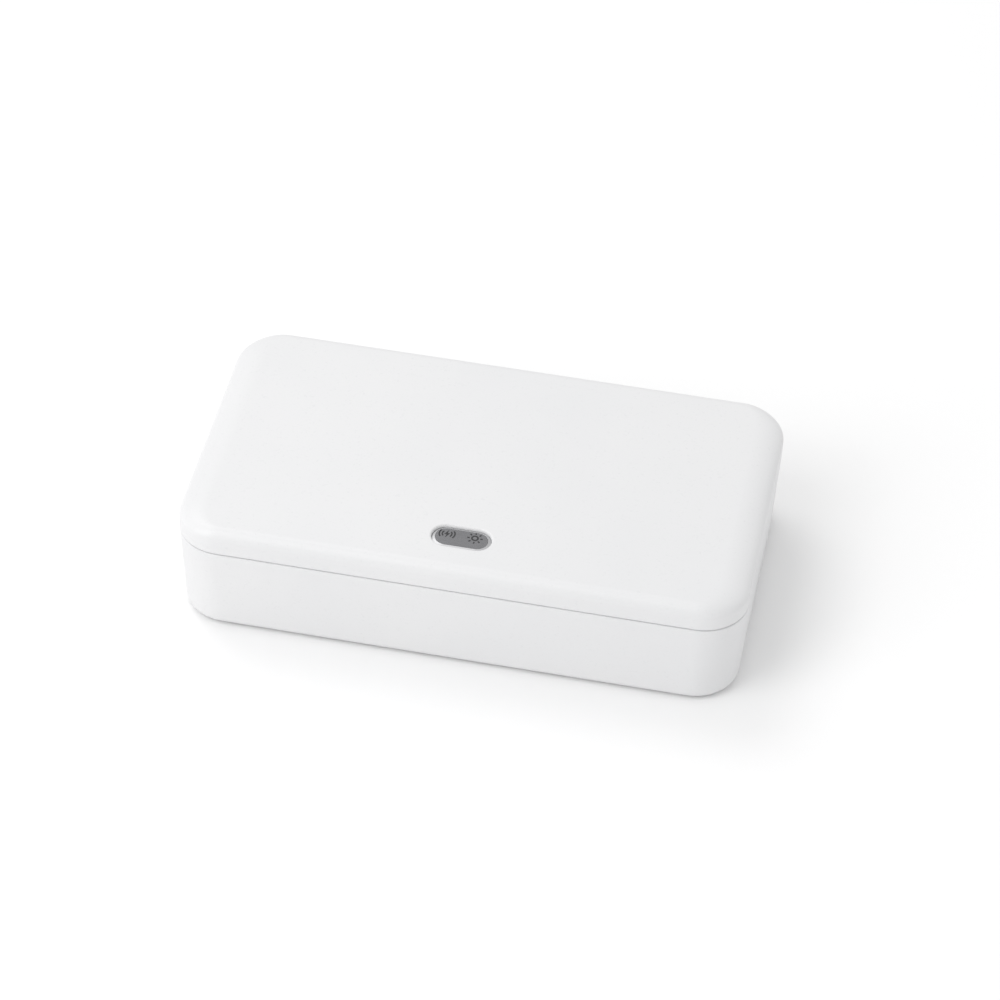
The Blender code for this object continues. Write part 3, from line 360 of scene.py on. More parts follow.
def smooth(made):
    """Shade smoothly, with sharp edges kept and large flat faces leading."""
    made.data.shade_smooth()
    made.data.set_sharp_from_angle(angle=SHARP)
    weigh = made.modifiers.new("flat faces lead", "WEIGHTED_NORMAL")
    weigh.keep_sharp = True
    weigh.weight = FLAT_WEIGHT


def piece(name, shape, finish, body, node=None, steps=(), closed=True):
    """Make a shown piece: its shape, its material, the body it rides on and the CAD node it stands for."""
    made = new_object(name, shape, closed)
    if steps:
        carve(made, steps)
    smooth(made)
    made.data.materials.clear()
    made.data.materials.append(finish)
    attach(made, body)
    if node:
        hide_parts(node)


# ---- materials

class Finish:
    """A material under construction: a Principled BSDF fed by patterns in the piece's own coordinates."""

    def __init__(self, name, **constants):
        self.material = bpy.data.materials.new(name)
        self.material.use_nodes = True
        self.tree = self.material.node_tree
        self.shader = self.tree.nodes["Principled BSDF"]
        for socket, value in constants.items():
            self.shader.inputs[socket.replace("_", " ")].default_value = value
        self.place = self.node("ShaderNodeTexCoord").outputs["Object"]
        self.relief = None

    def node(self, kind, **settings):
        """Add a node with these settings."""
        made = self.tree.nodes.new(kind)
        for name, value in settings.items():
            setattr(made, name, value)
        return made

    def wire(self, source, target):
        self.tree.links.new(source, target)

    def pattern(self, kind, scale, stretch, **settings):
        """A texture with scale features a metre, drawn out along an axis by a small stretch factor."""
        place = self.node("ShaderNodeMapping")
        place.inputs["Scale"].default_value = stretch
        self.wire(self.place, place.inputs["Vector"])
        made = self.node(kind, **settings)
        made.inputs["Scale"].default_value = scale
        self.wire(place.outputs["Vector"], made.inputs["Vector"])
        return made

    def noise(self, scale, detail=2.0, stretch=(1, 1, 1)):
        """Clouds, finer with more detail."""
        made = self.pattern("ShaderNodeTexNoise", scale, stretch)
        made.inputs["Detail"].default_value = detail
        return made.outputs["Fac"]

    def cells(self, scale, feature="F1", stretch=(1, 1, 1)):
        """Distance from the middles, or from the edges, of scattered cells."""
        return self.pattern("ShaderNodeTexVoronoi", scale, stretch, feature=feature).outputs["Distance"]

    def spread(self, value, low, high, out_low=0.0, out_high=1.0):
        """Map a value's range low..high to out_low..out_high."""
        made = self.node("ShaderNodeMapRange")
        self.wire(value, made.inputs["Value"])
        ends = {"From Min": low, "From Max": high, "To Min": out_low, "To Max": out_high}
        for name, number in ends.items():
            made.inputs[name].default_value = number
        return made.outputs["Result"]

    def blend(self, factor, first, second):
        """Mix two colours, or two colour sockets, by a factor."""
        made = self.node("ShaderNodeMix", data_type="RGBA")
        self.wire(factor, made.inputs[0])
        for socket, colour in ((made.inputs[6], first), (made.inputs[7], second)):
            if isinstance(colour, tuple):
                socket.default_value = (*colour, 1.0)
            else:
                self.wire(colour, socket)
        return made.outputs[2]

    def colour(self, source):
        self.wire(source, self.shader.inputs["Base Color"])

    def rough(self, source):
        self.wire(source, self.shader.inputs["Roughness"])

    def bump(self, height, depth, strength=1.0):
        """Add a relief of a depth in metres on top of those already there."""
        made = self.node("ShaderNodeBump")
        made.inputs["Distance"].default_value = depth
        made.inputs["Strength"].default_value = strength
        self.wire(height, made.inputs["Height"])
        if self.relief:
            self.wire(self.relief, made.inputs["Normal"])
        self.relief = made.outputs["Normal"]
        self.wire(self.relief, self.shader.inputs["Normal"])


def moulded(name, light, dark, rough, grain=2600, depth=0.012, patch=14, **constants):
    """A moulded plastic or rubber: two near colours in soft clouds, a fine grain and faint rub marks."""
    made = Finish(name, **constants)
    cloud = made.noise(patch, 3)
    colour = made.blend(made.spread(cloud, 0.3, 0.7), light, dark)
    fleck = made.spread(made.noise(grain * 0.35, 2), 0.6, 0.75)
    dusty = tuple(channel * 0.97 for channel in dark)
    made.colour(made.blend(fleck, colour, dusty))
    rub = made.noise(90, 3, (1, 0.12, 1))
    made.rough(made.spread(rub, 0.3, 0.75, rough[0], rough[1]))
    made.bump(made.noise(grain, 2), depth * MM)
    made.bump(made.noise(60, 1), 0.02 * MM, 0.5)
    return made.material


def metal(name, light, dark, rough, stretch=(1, 1, 1), scale=2400, depth=0.002, patch=40, **constants):
    """A bare or plated metal: slightly uneven colour, fine lines or grain, and uneven polish."""
    made = Finish(name, Metallic=1.0, **constants)
    made.colour(made.blend(made.spread(made.noise(patch, 3), 0.3, 0.7), light, dark))
    lines = made.noise(scale, 3, stretch)
    made.rough(made.spread(lines, 0.25, 0.75, rough[0], rough[1]))
    made.bump(lines, depth * MM)
    return made.material


WHITE = moulded("white_abs", (0.76, 0.76, 0.765), (0.74, 0.742, 0.75), (0.34, 0.46), IOR=1.52)
CAP_WHITE = moulded(
    "white_silicone", (0.80, 0.80, 0.79), (0.76, 0.76, 0.75), (0.5, 0.62), grain=1800, IOR=1.42,
)
BLACK = moulded("black_plastic", (0.022, 0.022, 0.024), (0.03, 0.03, 0.032), (0.42, 0.6), IOR=1.5)
RUBBER = moulded(
    "grey_rubber", (0.50, 0.50, 0.51), (0.44, 0.44, 0.45), (0.72, 0.9), grain=1500, depth=0.03,
)
JACKET = moulded("lead_jacket_pvc", (0.03, 0.03, 0.032), (0.045, 0.045, 0.047), (0.45, 0.6))
FERRITE = moulded(
    "sintered_ferrite", (0.05, 0.05, 0.055), (0.035, 0.035, 0.04), (0.6, 0.8), grain=1200, depth=0.02,
)
INK = moulded("icon_ink", (0.018, 0.018, 0.02), (0.03, 0.03, 0.032), (0.4, 0.55), depth=0.004)
STEEL = metal("plated_steel", (0.56, 0.57, 0.59), (0.48, 0.49, 0.51), (0.2, 0.38), (1, 0.06, 1))
NICKEL = metal("nickel_plate", (0.70, 0.68, 0.64), (0.62, 0.60, 0.57), (0.12, 0.26))
ALUMINIUM = metal("drawn_aluminium", (0.78, 0.79, 0.81), (0.70, 0.71, 0.73), (0.22, 0.4), (1, 1, 0.08))
COPPER = metal("enamelled_copper", (0.78, 0.36, 0.17), (0.62, 0.27, 0.12), (0.24, 0.4), Coat_Weight=0.6)
GOLD = metal("gold_flash", (0.86, 0.66, 0.30), (0.78, 0.58, 0.25), (0.18, 0.3))
BUTTON_METAL = metal(
    "button_metal", (0.27, 0.27, 0.28), (0.23, 0.23, 0.24), (0.2, 0.3), (0.05, 1, 1), 5200, 0.0015,
)
BEVEL_METAL = metal(
    "bright_bevel", (0.62, 0.62, 0.63), (0.56, 0.56, 0.57), (0.42, 0.52), (0.05, 1, 1), 5200, 0.001,
)


def make_mirror():
    """Vacuum-metallised plastic: bright, faintly wavy, with a trace of haze."""
    made = Finish("vacuum_metallised", Metallic=1.0)
    cloud = made.spread(made.noise(26, 3), 0.3, 0.7)
    made.colour(made.blend(cloud, (0.84, 0.85, 0.87), (0.76, 0.77, 0.80)))
    made.rough(made.spread(made.noise(70, 4), 0.3, 0.75, 0.07, 0.17))
    made.bump(made.noise(55, 1), 0.05 * MM, 0.6)
    made.bump(made.noise(900, 2), 0.0015 * MM)
    return made.material


def make_clear(name, tint, rough, ior, milk=0.0):
    """A clear solid with a faint, uneven roughness; milk is the share of light that it scatters."""
    made = Finish(name, Transmission_Weight=1.0 - milk, IOR=ior)
    deeper = tuple(channel * 0.97 for channel in tint)
    made.colour(made.blend(made.spread(made.noise(60, 2), 0.3, 0.7), tint, deeper))
    made.rough(made.spread(made.noise(140, 3), 0.3, 0.75, rough[0], rough[1]))
    made.bump(made.noise(110, 1), 0.01 * MM, 0.5)
    return made.material


def make_circuit():
    """Solder mask over copper: tracks stand out as lighter, raised lines, and pads show as tinned dots."""
    made = Finish("solder_mask", IOR=1.55, Coat_Weight=0.3)
    track = made.cells(420, "DISTANCE_TO_EDGE", (1, 0.4, 1))
    line = made.spread(track, 0.05, 0.08, 1.0, 0.0)
    cloud = made.spread(made.noise(45, 2), 0.3, 0.7)
    board = made.blend(cloud, (0.012, 0.11, 0.045), (0.016, 0.135, 0.055))
    tracked = made.blend(line, board, (0.03, 0.22, 0.09))
    pad = made.spread(made.cells(300), 0.16, 0.2, 1.0, 0.0)
    made.colour(made.blend(pad, tracked, (0.62, 0.62, 0.60)))
    made.rough(made.spread(made.noise(220, 2), 0.3, 0.7, 0.3, 0.42))
    made.bump(line, 0.03 * MM, 0.6)
    return made.material


MIRROR = make_mirror()
QUARTZ = make_clear("quartz_glass", (0.98, 0.985, 1.0), (0.0, 0.03), 1.46)
CLEAR = make_clear("clear_acrylic", (0.985, 0.99, 0.995), (0.02, 0.08), 1.4, 0.12)
CIRCUIT = make_circuit()


# ---- case shells

def knuckle_spans():
    """The stretches of the hinge's axis held by the base's knuckles and by the lid's knuckles."""
    in_base, in_lid = [], []
    for side in (-1, 1):
        middle = side * STATION_X
        in_lid.append((middle - LID_KNUCKLE / 2, middle + LID_KNUCKLE / 2))
        for direction in (-1, 1):
            near = middle + direction * (LID_KNUCKLE / 2 + GAP)
            in_base.append(tuple(sorted((near, near + direction * BASE_KNUCKLE))))
    in_base.append((-LEAD_BARREL, -GAP / 2))
    in_lid.append((GAP / 2, LEAD_BARREL))
    return in_base, in_lid


def on_hinge(spans, radius, grow=0.0, chamfer=0.0):
    """Rods round the hinge's axis over stretches of it."""
    return merged([
        pin(radius, (low - grow, HINGE_Y, SEAM_Z), (high + grow, HINGE_Y, SEAM_Z), chamfer)
        for low, high in spans
    ])


def bevel_wedge():
    """The wedge along the back that lets the lid swing behind the hinge's axis."""
    reach = 4 * (HALF_Y - HINGE_Y)
    rise = reach * math.tan(BEVEL_ANGLE)
    ends = []
    for x in (-HALF_X - OVER, HALF_X + OVER):
        corners = ((0, 0), (reach, -rise), (reach, rise))
        ends.append([Vector((x, HINGE_Y + y, SEAM_Z + z)) for y, z in corners])
    return loft(ends)


def hinge_rail(low_z, high_z):
    """The thick strip inside the back wall that carries the knuckles."""
    edge = WALL / 2 + (case_inset(low_z) if low_z < SEAM_Z else 0)
    rings = [ring(HALF_X - edge, HALF_Y - edge, CORNER - edge, z) for z in (low_z, high_z)]
    return kept_behind(loft(rings), RAIL_Y)


def pin_bores():
    """The stretches of the axis that the two hinge pins' bores take."""
    reach = LID_KNUCKLE / 2 + GAP + BASE_KNUCKLE
    bores = []
    for side in (-1, 1):
        inner = side * (STATION_X - reach)
        outer = side * (STATION_X + reach - KNUCKLE_END)
        bores.append(tuple(sorted((inner - side * OVER, outer))))
    return bores


def lead_window(side):
    """The opening through which the lead turns from its side of the seam into the middle barrel."""
    low_x, high_x = sorted((side * LEAD_WINDOW[0], side * LEAD_WINDOW[1]))
    deep = SEAM_Z + side * (KNUCKLE_R + 2 * LEAD_RADIUS)
    edge = SEAM_Z - side * PIN_R
    return plain_box((low_x, RAIL_Y - OVER, min(deep, edge)), (high_x, HINGE_Y + PIN_R, max(deep, edge)))


def rods(places, radius, low_z, high_z):
    """Upright rods at (x, y) places."""
    return merged([pin(radius, (x, y, low_z), (x, y, high_z)) for x, y in places])


def at_corners(radius, low_z, high_z):
    """Upright rods at the four screws."""
    return rods([(x, y) for _, x, y in CORNERS], radius, low_z, high_z)


def at_magnets(radius, low_z, high_z):
    """Upright rods at the two catch magnets."""
    return rods([(side * MAGNET_X, MAGNET_Y) for _, side in SIDES], radius, low_z, high_z)


def make_lid_shell():
    """The lid: soft shoulders at its short ends, a rounded seam edge, knuckles and the button's hole."""
    rings = []

    def rounding(points, wall, radius, reach):
        for inset, z in points:
            rings.append(lid_ring(inset, wall + (inset - wall) * reach / radius, z))

    inside = [(WALL + INNER_FILLET + MM, LID_INNER_Z)]
    inside += arc(WALL + INNER_FILLET, LID_INNER_Z - INNER_FILLET, INNER_FILLET, 90, 0)
    rounding(inside, WALL, INNER_FILLET, END_SHOULDER - WALL)
    rim = arc(WALL - RIM_ROUND, LID_BOTTOM_Z + RIM_ROUND, RIM_ROUND, 180, 270, EDGE_STEPS)
    rim += arc(LID_ROUND, LID_BOTTOM_Z + LID_ROUND, LID_ROUND, 270, 360, 2 * EDGE_STEPS)
    for inset, z in rim:
        rings.append(lid_ring(inset, inset, z))
    outside = arc(TOP_FILLET, TOP_Z - TOP_FILLET, TOP_FILLET, 0, 90, 3 * FILLET_STEPS)
    rounding(outside + [(TOP_FILLET + MM, TOP_Z)], 0.0, TOP_FILLET, END_SHOULDER)
    in_base, in_lid = knuckle_spans()
    hole_half = (BUTTON_L / 2 + BUTTON_SLIT, BUTTON_W / 2 + BUTTON_SLIT)
    rim = arc(-RECESS_ROUND, TOP_Z - RECESS_ROUND, RECESS_ROUND, 180, 90, 2 * EDGE_STEPS)
    hole = [(0.0, LID_INNER_Z - OVER)] + rim + [(rim[-1][0], TOP_Z + OVER)]
    steps = [
        ("join", hinge_rail(LID_BOTTOM_Z + GAP, SEAM_Z + RAIL_HEIGHT)),
        ("cut", bevel_wedge()),
        ("cut", on_hinge(in_base, KNUCKLE_R + GAP, GAP)),
        ("join", on_hinge(in_lid, KNUCKLE_R, 0, KNUCKLE_CHAMFER)),
        ("join", at_corners(BOSS_R, LID_BOSS_Z, LID_INNER_Z + OVER / 2)),
        ("cut", at_corners(SCREW_R + GAP, LID_BOSS_Z - OVER, LID_SCREW_Z + LID_SCREW_LENGTH + GAP)),
        ("cut", on_hinge(pin_bores(), PIN_R + GAP)),
        ("cut", on_hinge([(-OVER, LEAD_WINDOW[1])], PIN_R + GAP)),
        ("cut", lead_window(1)),
        ("cut", pill_loft(hole, *hole_half, (BUTTON_X, BUTTON_Y))),
    ]
    piece("lid_shell_fine", loft(rings), WHITE, "lid", "lid_shell", steps)


def make_base_shell():
    """The base: drafted sides, the white tongue inside the seam, knuckles, bosses and the inlet's opening."""
    section = [(WALL + MM + OVER, FLOOR_Z)]
    section += arc(WALL + MM, FLOOR_Z + MM, MM, 270, 180)
    section += arc(WALL - RIM_ROUND, SEAM_Z - RIM_ROUND, RIM_ROUND, 180, 90, EDGE_STEPS)
    section += [(TONGUE_INSET, SEAM_Z), (TONGUE_INSET, BASE_TOP_Z)]
    section += arc(SEAM_ROUND, BASE_TOP_Z - SEAM_ROUND, SEAM_ROUND, 90, 0, 2 * EDGE_STEPS)
    section += arc(BOTTOM_FILLET, STAND_Z + BOTTOM_FILLET, BOTTOM_FILLET, 0, -90)
    section += [(BOTTOM_FILLET + MM, STAND_Z)]
    in_base, in_lid = knuckle_spans()
    flare = 0.6 * MM
    usb = [
        (0.0, HALF_Y - 4 * WALL), (0.0, HALF_Y - case_inset(USB_Z) - 0.5 * MM),
        (-flare, HALF_Y + 0.1 * MM), (-flare, HALF_Y + OVER),
    ]
    opening = pill_loft(usb, USB_HALF + GAP, USB_HEIGHT / 2 + GAP, (0, 0))
    opening.transform(FACING_BACK)
    steps = [
        ("join", hinge_rail(SEAM_Z - RAIL_HEIGHT, BASE_TOP_Z - GAP)),
        ("cut", bevel_wedge()),
        ("cut", on_hinge(in_lid, KNUCKLE_R + GAP, GAP)),
        ("join", on_hinge(in_base, KNUCKLE_R, 0, KNUCKLE_CHAMFER)),
        ("join", at_corners(BOSS_R, FLOOR_Z - OVER, BASE_BOSS_Z - GAP)),
        ("cut", at_corners(FOOT_R + GAP, STAND_Z - OVER, FOOT_RECESS_Z)),
        ("cut", at_corners(SCREW_HEAD_R + GAP, STAND_Z, SCREW_SEAT_Z)),
        ("cut", at_corners(SCREW_R + GAP, STAND_Z, BASE_BOSS_Z + OVER)),
        ("cut", on_hinge(pin_bores(), PIN_R + GAP)),
        ("cut", on_hinge([(-LEAD_WINDOW[1], OVER)], PIN_R + GAP)),
        ("cut", lead_window(-1)),
        ("cut", opening),
    ]
    piece("base_shell_fine", base_loft(section), WHITE, "base", "base_shell", steps)


# ---- liners

def clamp_rear(points):
    """Keep a ring in front of the hinge rail."""
    limit = RAIL_Y - GAP
    return [Vector((point.x, min(point.y, limit), point.z)) for point in points]


def trough_cutter(open_z, deep_z, fillet):
    """The lamp's trough: round along its foot and at its mouth; open_z is the face it is sunk in."""
    up = 1 if open_z > deep_z else -1
    mouth = arc(-TROUGH_LIP, 0, TROUGH_LIP, 180, 90, 4)
    section = [(-TROUGH_LIP, open_z + up * OVER)]
    section += [(inset, open_z + up * (z - TROUGH_LIP)) for inset, z in reversed(mouth)]
    section += [(inset, deep_z + up * (fillet + z)) for inset, z in arc(fillet, 0, fillet, 0, -90, 10)]
    return loft([
        ring(TROUGH_X - inset, TROUGH_HALF - inset, max(TROUGH_CORNER - inset, 0.1 * MM), z)
        for inset, z in section
    ])


def trough_wall(skin, section):
    """The outside of the trough, a skin thicker all round than its inside."""
    return loft([
        ring(TROUGH_X + skin - inset, TROUGH_HALF + skin - inset, TROUGH_CORNER + skin - inset, z)
        for inset, z in section
    ])


def make_base_liner():
    """The chamber: a tub with a rounded foot, a lip above the seam and a flange over the base's edge."""
    skin = LINER_SKIN
    flange_top = BASE_TOP_Z - GAP
    flange_low = flange_top - FLANGE
    edge = WALL + case_inset(flange_low) + GAP
    rings = []

    def tub(inset, z):
        rings.append(ring(CHAMBER_X - inset, CHAMBER_Y - inset, CHAMBER_CORNER - inset, z))

    tub(CHAMBER_FILLET + MM, CHAMBER_FLOOR_Z)
    for inset, z in arc(CHAMBER_FILLET, CHAMBER_FLOOR_Z + CHAMBER_FILLET, CHAMBER_FILLET, -90, 0):
        tub(inset, z)
    lip, fold = LINER_EDGE, LINER_FOLD
    edges = arc(-lip, LIP_Z - lip, lip, 180, 90, EDGE_STEPS)
    edges += arc(-skin + lip, LIP_Z - lip, lip, 90, 0, EDGE_STEPS)
    edges += arc(-skin - fold, flange_top + fold, fold, 180, 270, EDGE_STEPS)
    for inset, z in edges:
        tub(inset, z)
    for inset, z in arc(edge + RIM_ROUND, flange_top - RIM_ROUND, RIM_ROUND, 90, 0, EDGE_STEPS):
        rings.append(clamp_rear(ring(HALF_X - inset, HALF_Y - inset, CORNER - WALL - inset + edge, z)))
    rings.append(clamp_rear(ring(HALF_X - edge, HALF_Y - edge, CORNER - WALL, flange_low)))
    tub(-skin, flange_low)
    foot_z = CHAMBER_FLOOR_Z + CHAMBER_FILLET
    for inset, z in arc(CHAMBER_FILLET - skin, foot_z - skin, CHAMBER_FILLET, 0, -90):
        tub(inset, z)
    tub(CHAMBER_FILLET + MM, CHAMBER_FLOOR_Z - skin)
    under = [(0.0, CHAMBER_FLOOR_Z - skin / 2)]
    under += arc(TROUGH_FILLET, TROUGH_Z - skin + TROUGH_FILLET, TROUGH_FILLET, 0, -90)
    pocket_z = flange_top - MAGNET_POCKET
    steps = [
        ("join", trough_wall(skin, under)),
        ("join", at_corners(BOSS_R, BASE_BOSS_Z, flange_low + FLANGE / 2)),
        ("join", at_magnets(MAGNET_R + GAP + CUP_WALL, pocket_z - CUP_WALL, flange_low + FLANGE / 2)),
        ("cut", trough_cutter(CHAMBER_FLOOR_Z, TROUGH_Z, TROUGH_FILLET)),
        ("cut", at_corners(SCREW_R + GAP, BASE_BOSS_Z - OVER, SCREW_SEAT_Z + BASE_SCREW_LENGTH + OVER)),
        ("cut", at_magnets(MAGNET_R + GAP, pocket_z, flange_top + OVER)),
    ]
    piece("base_liner_fine", loft(rings), MIRROR, "base", "base_liner", steps)


def make_lid_liner():
    """The chamber's roof: a shallow tray that goes over the base's lip, with cups for screws and magnets."""
    wide = LINER_SKIN + LIP_CLEARANCE
    skin = LID_SKIN
    edge = WALL + GAP
    top = LID_BOTTOM_Z + FLANGE
    rings = []

    def roof(inset, z):
        grow = wide - inset
        rings.append(ring(CHAMBER_X + grow, CHAMBER_Y + grow, CHAMBER_CORNER + grow, z))

    roof(CEILING_FILLET + MM, CEILING_Z)
    for inset, z in arc(CEILING_FILLET, CEILING_Z - CEILING_FILLET, CEILING_FILLET, 90, 0):
        roof(inset, z)
    for inset, z in arc(-LINER_FOLD, LID_BOTTOM_Z + LINER_FOLD, LINER_FOLD, 180, 270, EDGE_STEPS):
        roof(inset, z)
    for inset, z in arc(edge + RIM_ROUND, LID_BOTTOM_Z + RIM_ROUND, RIM_ROUND, -90, 0, EDGE_STEPS):
        rings.append(clamp_rear(ring(HALF_X - inset, HALF_Y - inset, CORNER - inset, z)))
    rings.append(clamp_rear(ring(HALF_X - edge, HALF_Y - edge, CORNER - edge, top)))
    roof(-skin, top)
    for inset, z in arc(CEILING_FILLET - skin, CEILING_Z + skin - CEILING_FILLET, CEILING_FILLET, 0, 90):
        roof(inset, z)
    roof(CEILING_FILLET + MM, CEILING_Z + skin)
    fillet = 1.2 * MM
    over = [(0.0, CEILING_Z + skin / 2)]
    over += arc(fillet, LID_TROUGH_Z + LID_TROUGH_SKIN - fillet, fillet, 0, 90)
    cup_low = LID_BOTTOM_Z + FLANGE / 2
    magnet_top = LID_BOTTOM_Z + MAGNET_POCKET
    steps = [
        ("join", trough_wall(LID_TROUGH_SKIN, over)),
        ("join", at_corners(LID_HEAD_R + GAP + CUP_WALL, cup_low, LID_BOSS_Z - GAP)),
        ("join", at_magnets(MAGNET_R + GAP + CUP_WALL, cup_low, magnet_top + CUP_WALL)),
        ("cut", trough_cutter(CEILING_Z, LID_TROUGH_Z, 1.0 * MM)),
        ("cut", at_corners(LID_HEAD_R + GAP, LID_BOTTOM_Z - OVER, LID_SCREW_Z)),
        ("cut", at_corners(SCREW_R + GAP, LID_BOTTOM_Z - OVER, LID_BOSS_Z + OVER)),
        ("cut", at_magnets(MAGNET_R + GAP, LID_BOTTOM_Z - OVER, magnet_top)),
    ]
    piece("lid_liner_fine", loft(rings), MIRROR, "lid", "lid_liner", steps)


# ---- button

def make_button():
    """The satin metal cap on its retaining flange, and the bright shallow bevel round its top."""
    low, high = CAP_LOW.z, CAP_HIGH.z
    shoulder = high - BUTTON_BEVEL_DROP - 0.15 * MM
    flange = CAP_LOW.x + BUTTON_L / 2 - BUTTON_X
    soft, hair = 0.1 * MM, 0.02 * MM
    size = (BUTTON_L / 2, BUTTON_W / 2, (BUTTON_X, BUTTON_Y))
    section = [
        (MM, low), (flange + soft, low), (flange, low + soft), (flange, low + 0.6 * MM),
        (flange + soft, low + 0.7 * MM), (soft, low + 0.7 * MM), (0.0, low + 0.8 * MM), (0.0, shoulder),
        (BUTTON_BEVEL, shoulder), (BUTTON_BEVEL, high - soft / 2), (BUTTON_BEVEL + soft / 2, high),
        (BUTTON_BEVEL + MM, high),
    ]
    piece("button_cap_fine", pill_loft(section, *size), BUTTON_METAL, "button", "button_cap")
    slope = math.degrees(math.atan2(BUTTON_BEVEL, BUTTON_BEVEL_DROP))
    section = [(BUTTON_BEVEL - hair, shoulder + hair), (hair, shoulder + hair)]
    section += arc(soft, high - BUTTON_BEVEL_DROP - soft, soft, 0, slope, EDGE_STEPS)
    section += [(BUTTON_BEVEL - hair, high)]
    piece("button_bevel", pill_loft(section, *size, around=True), BEVEL_METAL, "button")


# ---- lamps, ribs and small parts

def make_lamp(prefix, body):
    """A sealed quartz tube with a nickel electrode cup near each end, held by two soft end caps."""
    low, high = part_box(prefix + "_lamp")
    axis_z = (low.z + high.z) / 2
    radius = (high.z - low.z) / 2
    bore = radius - 0.35 * MM
    domed = 0.9
    half = high.x

    def along(profile):
        return turned(profile, (-half, 0, axis_z), (1, 0, 0), 48)

    seal = 1.2 * MM
    def sealed(size, start, turns):
        dome = [(size * math.sin(t), start + size * domed * (1 - math.cos(t))) for t in turns]
        return along(dome + [(r, 2 * half - d) for r, d in reversed(dome)])

    outside = sealed(radius, 0.0, (0.15, 0.5, 0.85, 1.2, math.pi / 2))
    inside = sealed(bore, seal, (0.15, 0.6, 1.1, math.pi / 2))
    bmesh.ops.reverse_faces(inside, faces=inside.faces)
    node = prefix + "_lamp"
    piece(node + "_fine", merged([outside, inside]), QUARTZ, body, node, closed=False)
    cup_r = bore - 0.25 * MM
    for name, side in SIDES:
        start = (side * (half - seal - 0.6 * MM), 0, axis_z)
        wire = 0.25 * MM
        cup = [
            (wire, 0), (wire, 1.6 * MM), (cup_r, 1.8 * MM), (cup_r, 10.4 * MM),
            (cup_r - 0.1 * MM, 10.5 * MM), (cup_r - 0.2 * MM, 10.4 * MM),
            (cup_r - 0.2 * MM, 2.4 * MM), (0.05 * MM, 2.4 * MM),
        ]
        piece(
            prefix + "_lamp_electrode_" + name, turned(cup, start, (-side, 0, 0), 32), NICKEL, body,
        )
        node = prefix + "_lamp_cap_" + name
        cap_low, cap_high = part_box(node)
        outer = cap_high.x if side > 0 else -cap_low.x
        length = cap_high.x - cap_low.x
        cap_r = (cap_high.z - cap_low.z) / 2
        soft = 0.35 * MM
        groove = 0.3 * MM
        profile = [(0.2 * MM, 0)] + [(r, d) for r, d in (
            (cap_r - soft, 0), (cap_r - 0.1 * MM, 0.1 * MM), (cap_r, soft),
            (cap_r, 2.2 * MM), (cap_r - groove, 2.5 * MM), (cap_r - groove, 3.1 * MM), (cap_r, 3.4 * MM),
            (cap_r, length - soft), (cap_r - 0.1 * MM, length - 0.1 * MM), (cap_r - soft, length),
            (radius + GAP + 0.15 * MM, length), (radius + GAP, length - 0.15 * MM),
            (radius + GAP, 2.0 * MM), (0.2 * MM, 2.0 * MM),
        )]
        cap = turned(profile, (side * outer, 0, axis_z), (-side, 0, 0), 48)
        piece(node + "_fine", cap, CAP_WHITE, body, node)


def make_ribs():
    """Clear bars across the chamber, their edges and the ramps of their horns rounded."""
    for index in range(1, 5):
        node = "support_rib_" + str(index)
        low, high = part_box(node)
        middle = (low.x + high.x) / 2
        soft = 0.35 * MM
        reach, foot, top = high.y, low.z, high.z
        step = top - HORN_HEIGHT
        half = [(0.0, step)]
        ramp_start, ramp_end = reach - HORN_RAMP[0], reach - HORN_RAMP[1]
        for share in [n / 10 for n in range(11)]:
            ease = share * share * (3 - 2 * share)
            half.append((ramp_start + (ramp_end - ramp_start) * share, step + (top - step) * ease))
        for radius, middle_z, turns in (
            (MM, top - MM, (90, 67.5, 45, 22.5, 0)), (0.6 * MM, foot + 0.6 * MM, (0, -30, -60, -90)),
        ):
            for angle in map(math.radians, turns):
                half.append((reach - radius * (1 - math.cos(angle)), middle_z + radius * math.sin(angle)))
        outline = half + [(-y, z) for y, z in reversed(half[1:])]
        rings = []
        width = (high.x - low.x) / 2
        for x, inset in ((-width, soft), (-width + 0.1 * MM, 0.1 * MM), (-width + soft, 0.0),
                         (width - soft, 0.0), (width - 0.1 * MM, 0.1 * MM), (width, soft)):
            rings.append([Vector((middle + x, y, z)) for y, z in shrunk(outline, inset)])
        piece(node + "_fine", loft(rings), CLEAR, "base", node)


def shrunk(outline, inset):
    """A closed outline moved inwards by inset, corner by corner."""
    moved = []
    count = len(outline)
    for index, (y, z) in enumerate(outline):
        before = Vector(outline[index - 1])
        here = Vector((y, z))
        after = Vector(outline[(index + 1) % count])
        first = (here - before).normalized()
        second = (after - here).normalized()
        normals = Vector((first.y, -first.x)), Vector((second.y, -second.x))
        away = (normals[0] + normals[1]).normalized()
        scale = max(0.5, away.dot(normals[0]))
        point = here + away * (inset / scale)
        moved.append((point.x, point.y))
    return moved


def make_feet():
    """Round feet with a shallow dish below, softened at the rim."""
    for name, x, y in CORNERS:
        node = "foot_" + name
        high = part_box(node)[1].z
        soft = 0.4 * MM
        profile = [(0.2 * MM, 0.25 * MM), (2.2 * MM, 0.25 * MM), (2.6 * MM, 0.0)]
        for turn in (0, 0.4, 0.8, 1.2, math.pi / 2):
            profile.append((FOOT_R - soft + soft * math.sin(turn), soft - soft * math.cos(turn)))
        profile += [(FOOT_R, high - 0.1 * MM), (FOOT_R - 0.1 * MM, high), (0.2 * MM, high)]
        piece(node + "_fine", turned(profile, (x, y, 0), (0, 0, 1)), RUBBER, "base", node)


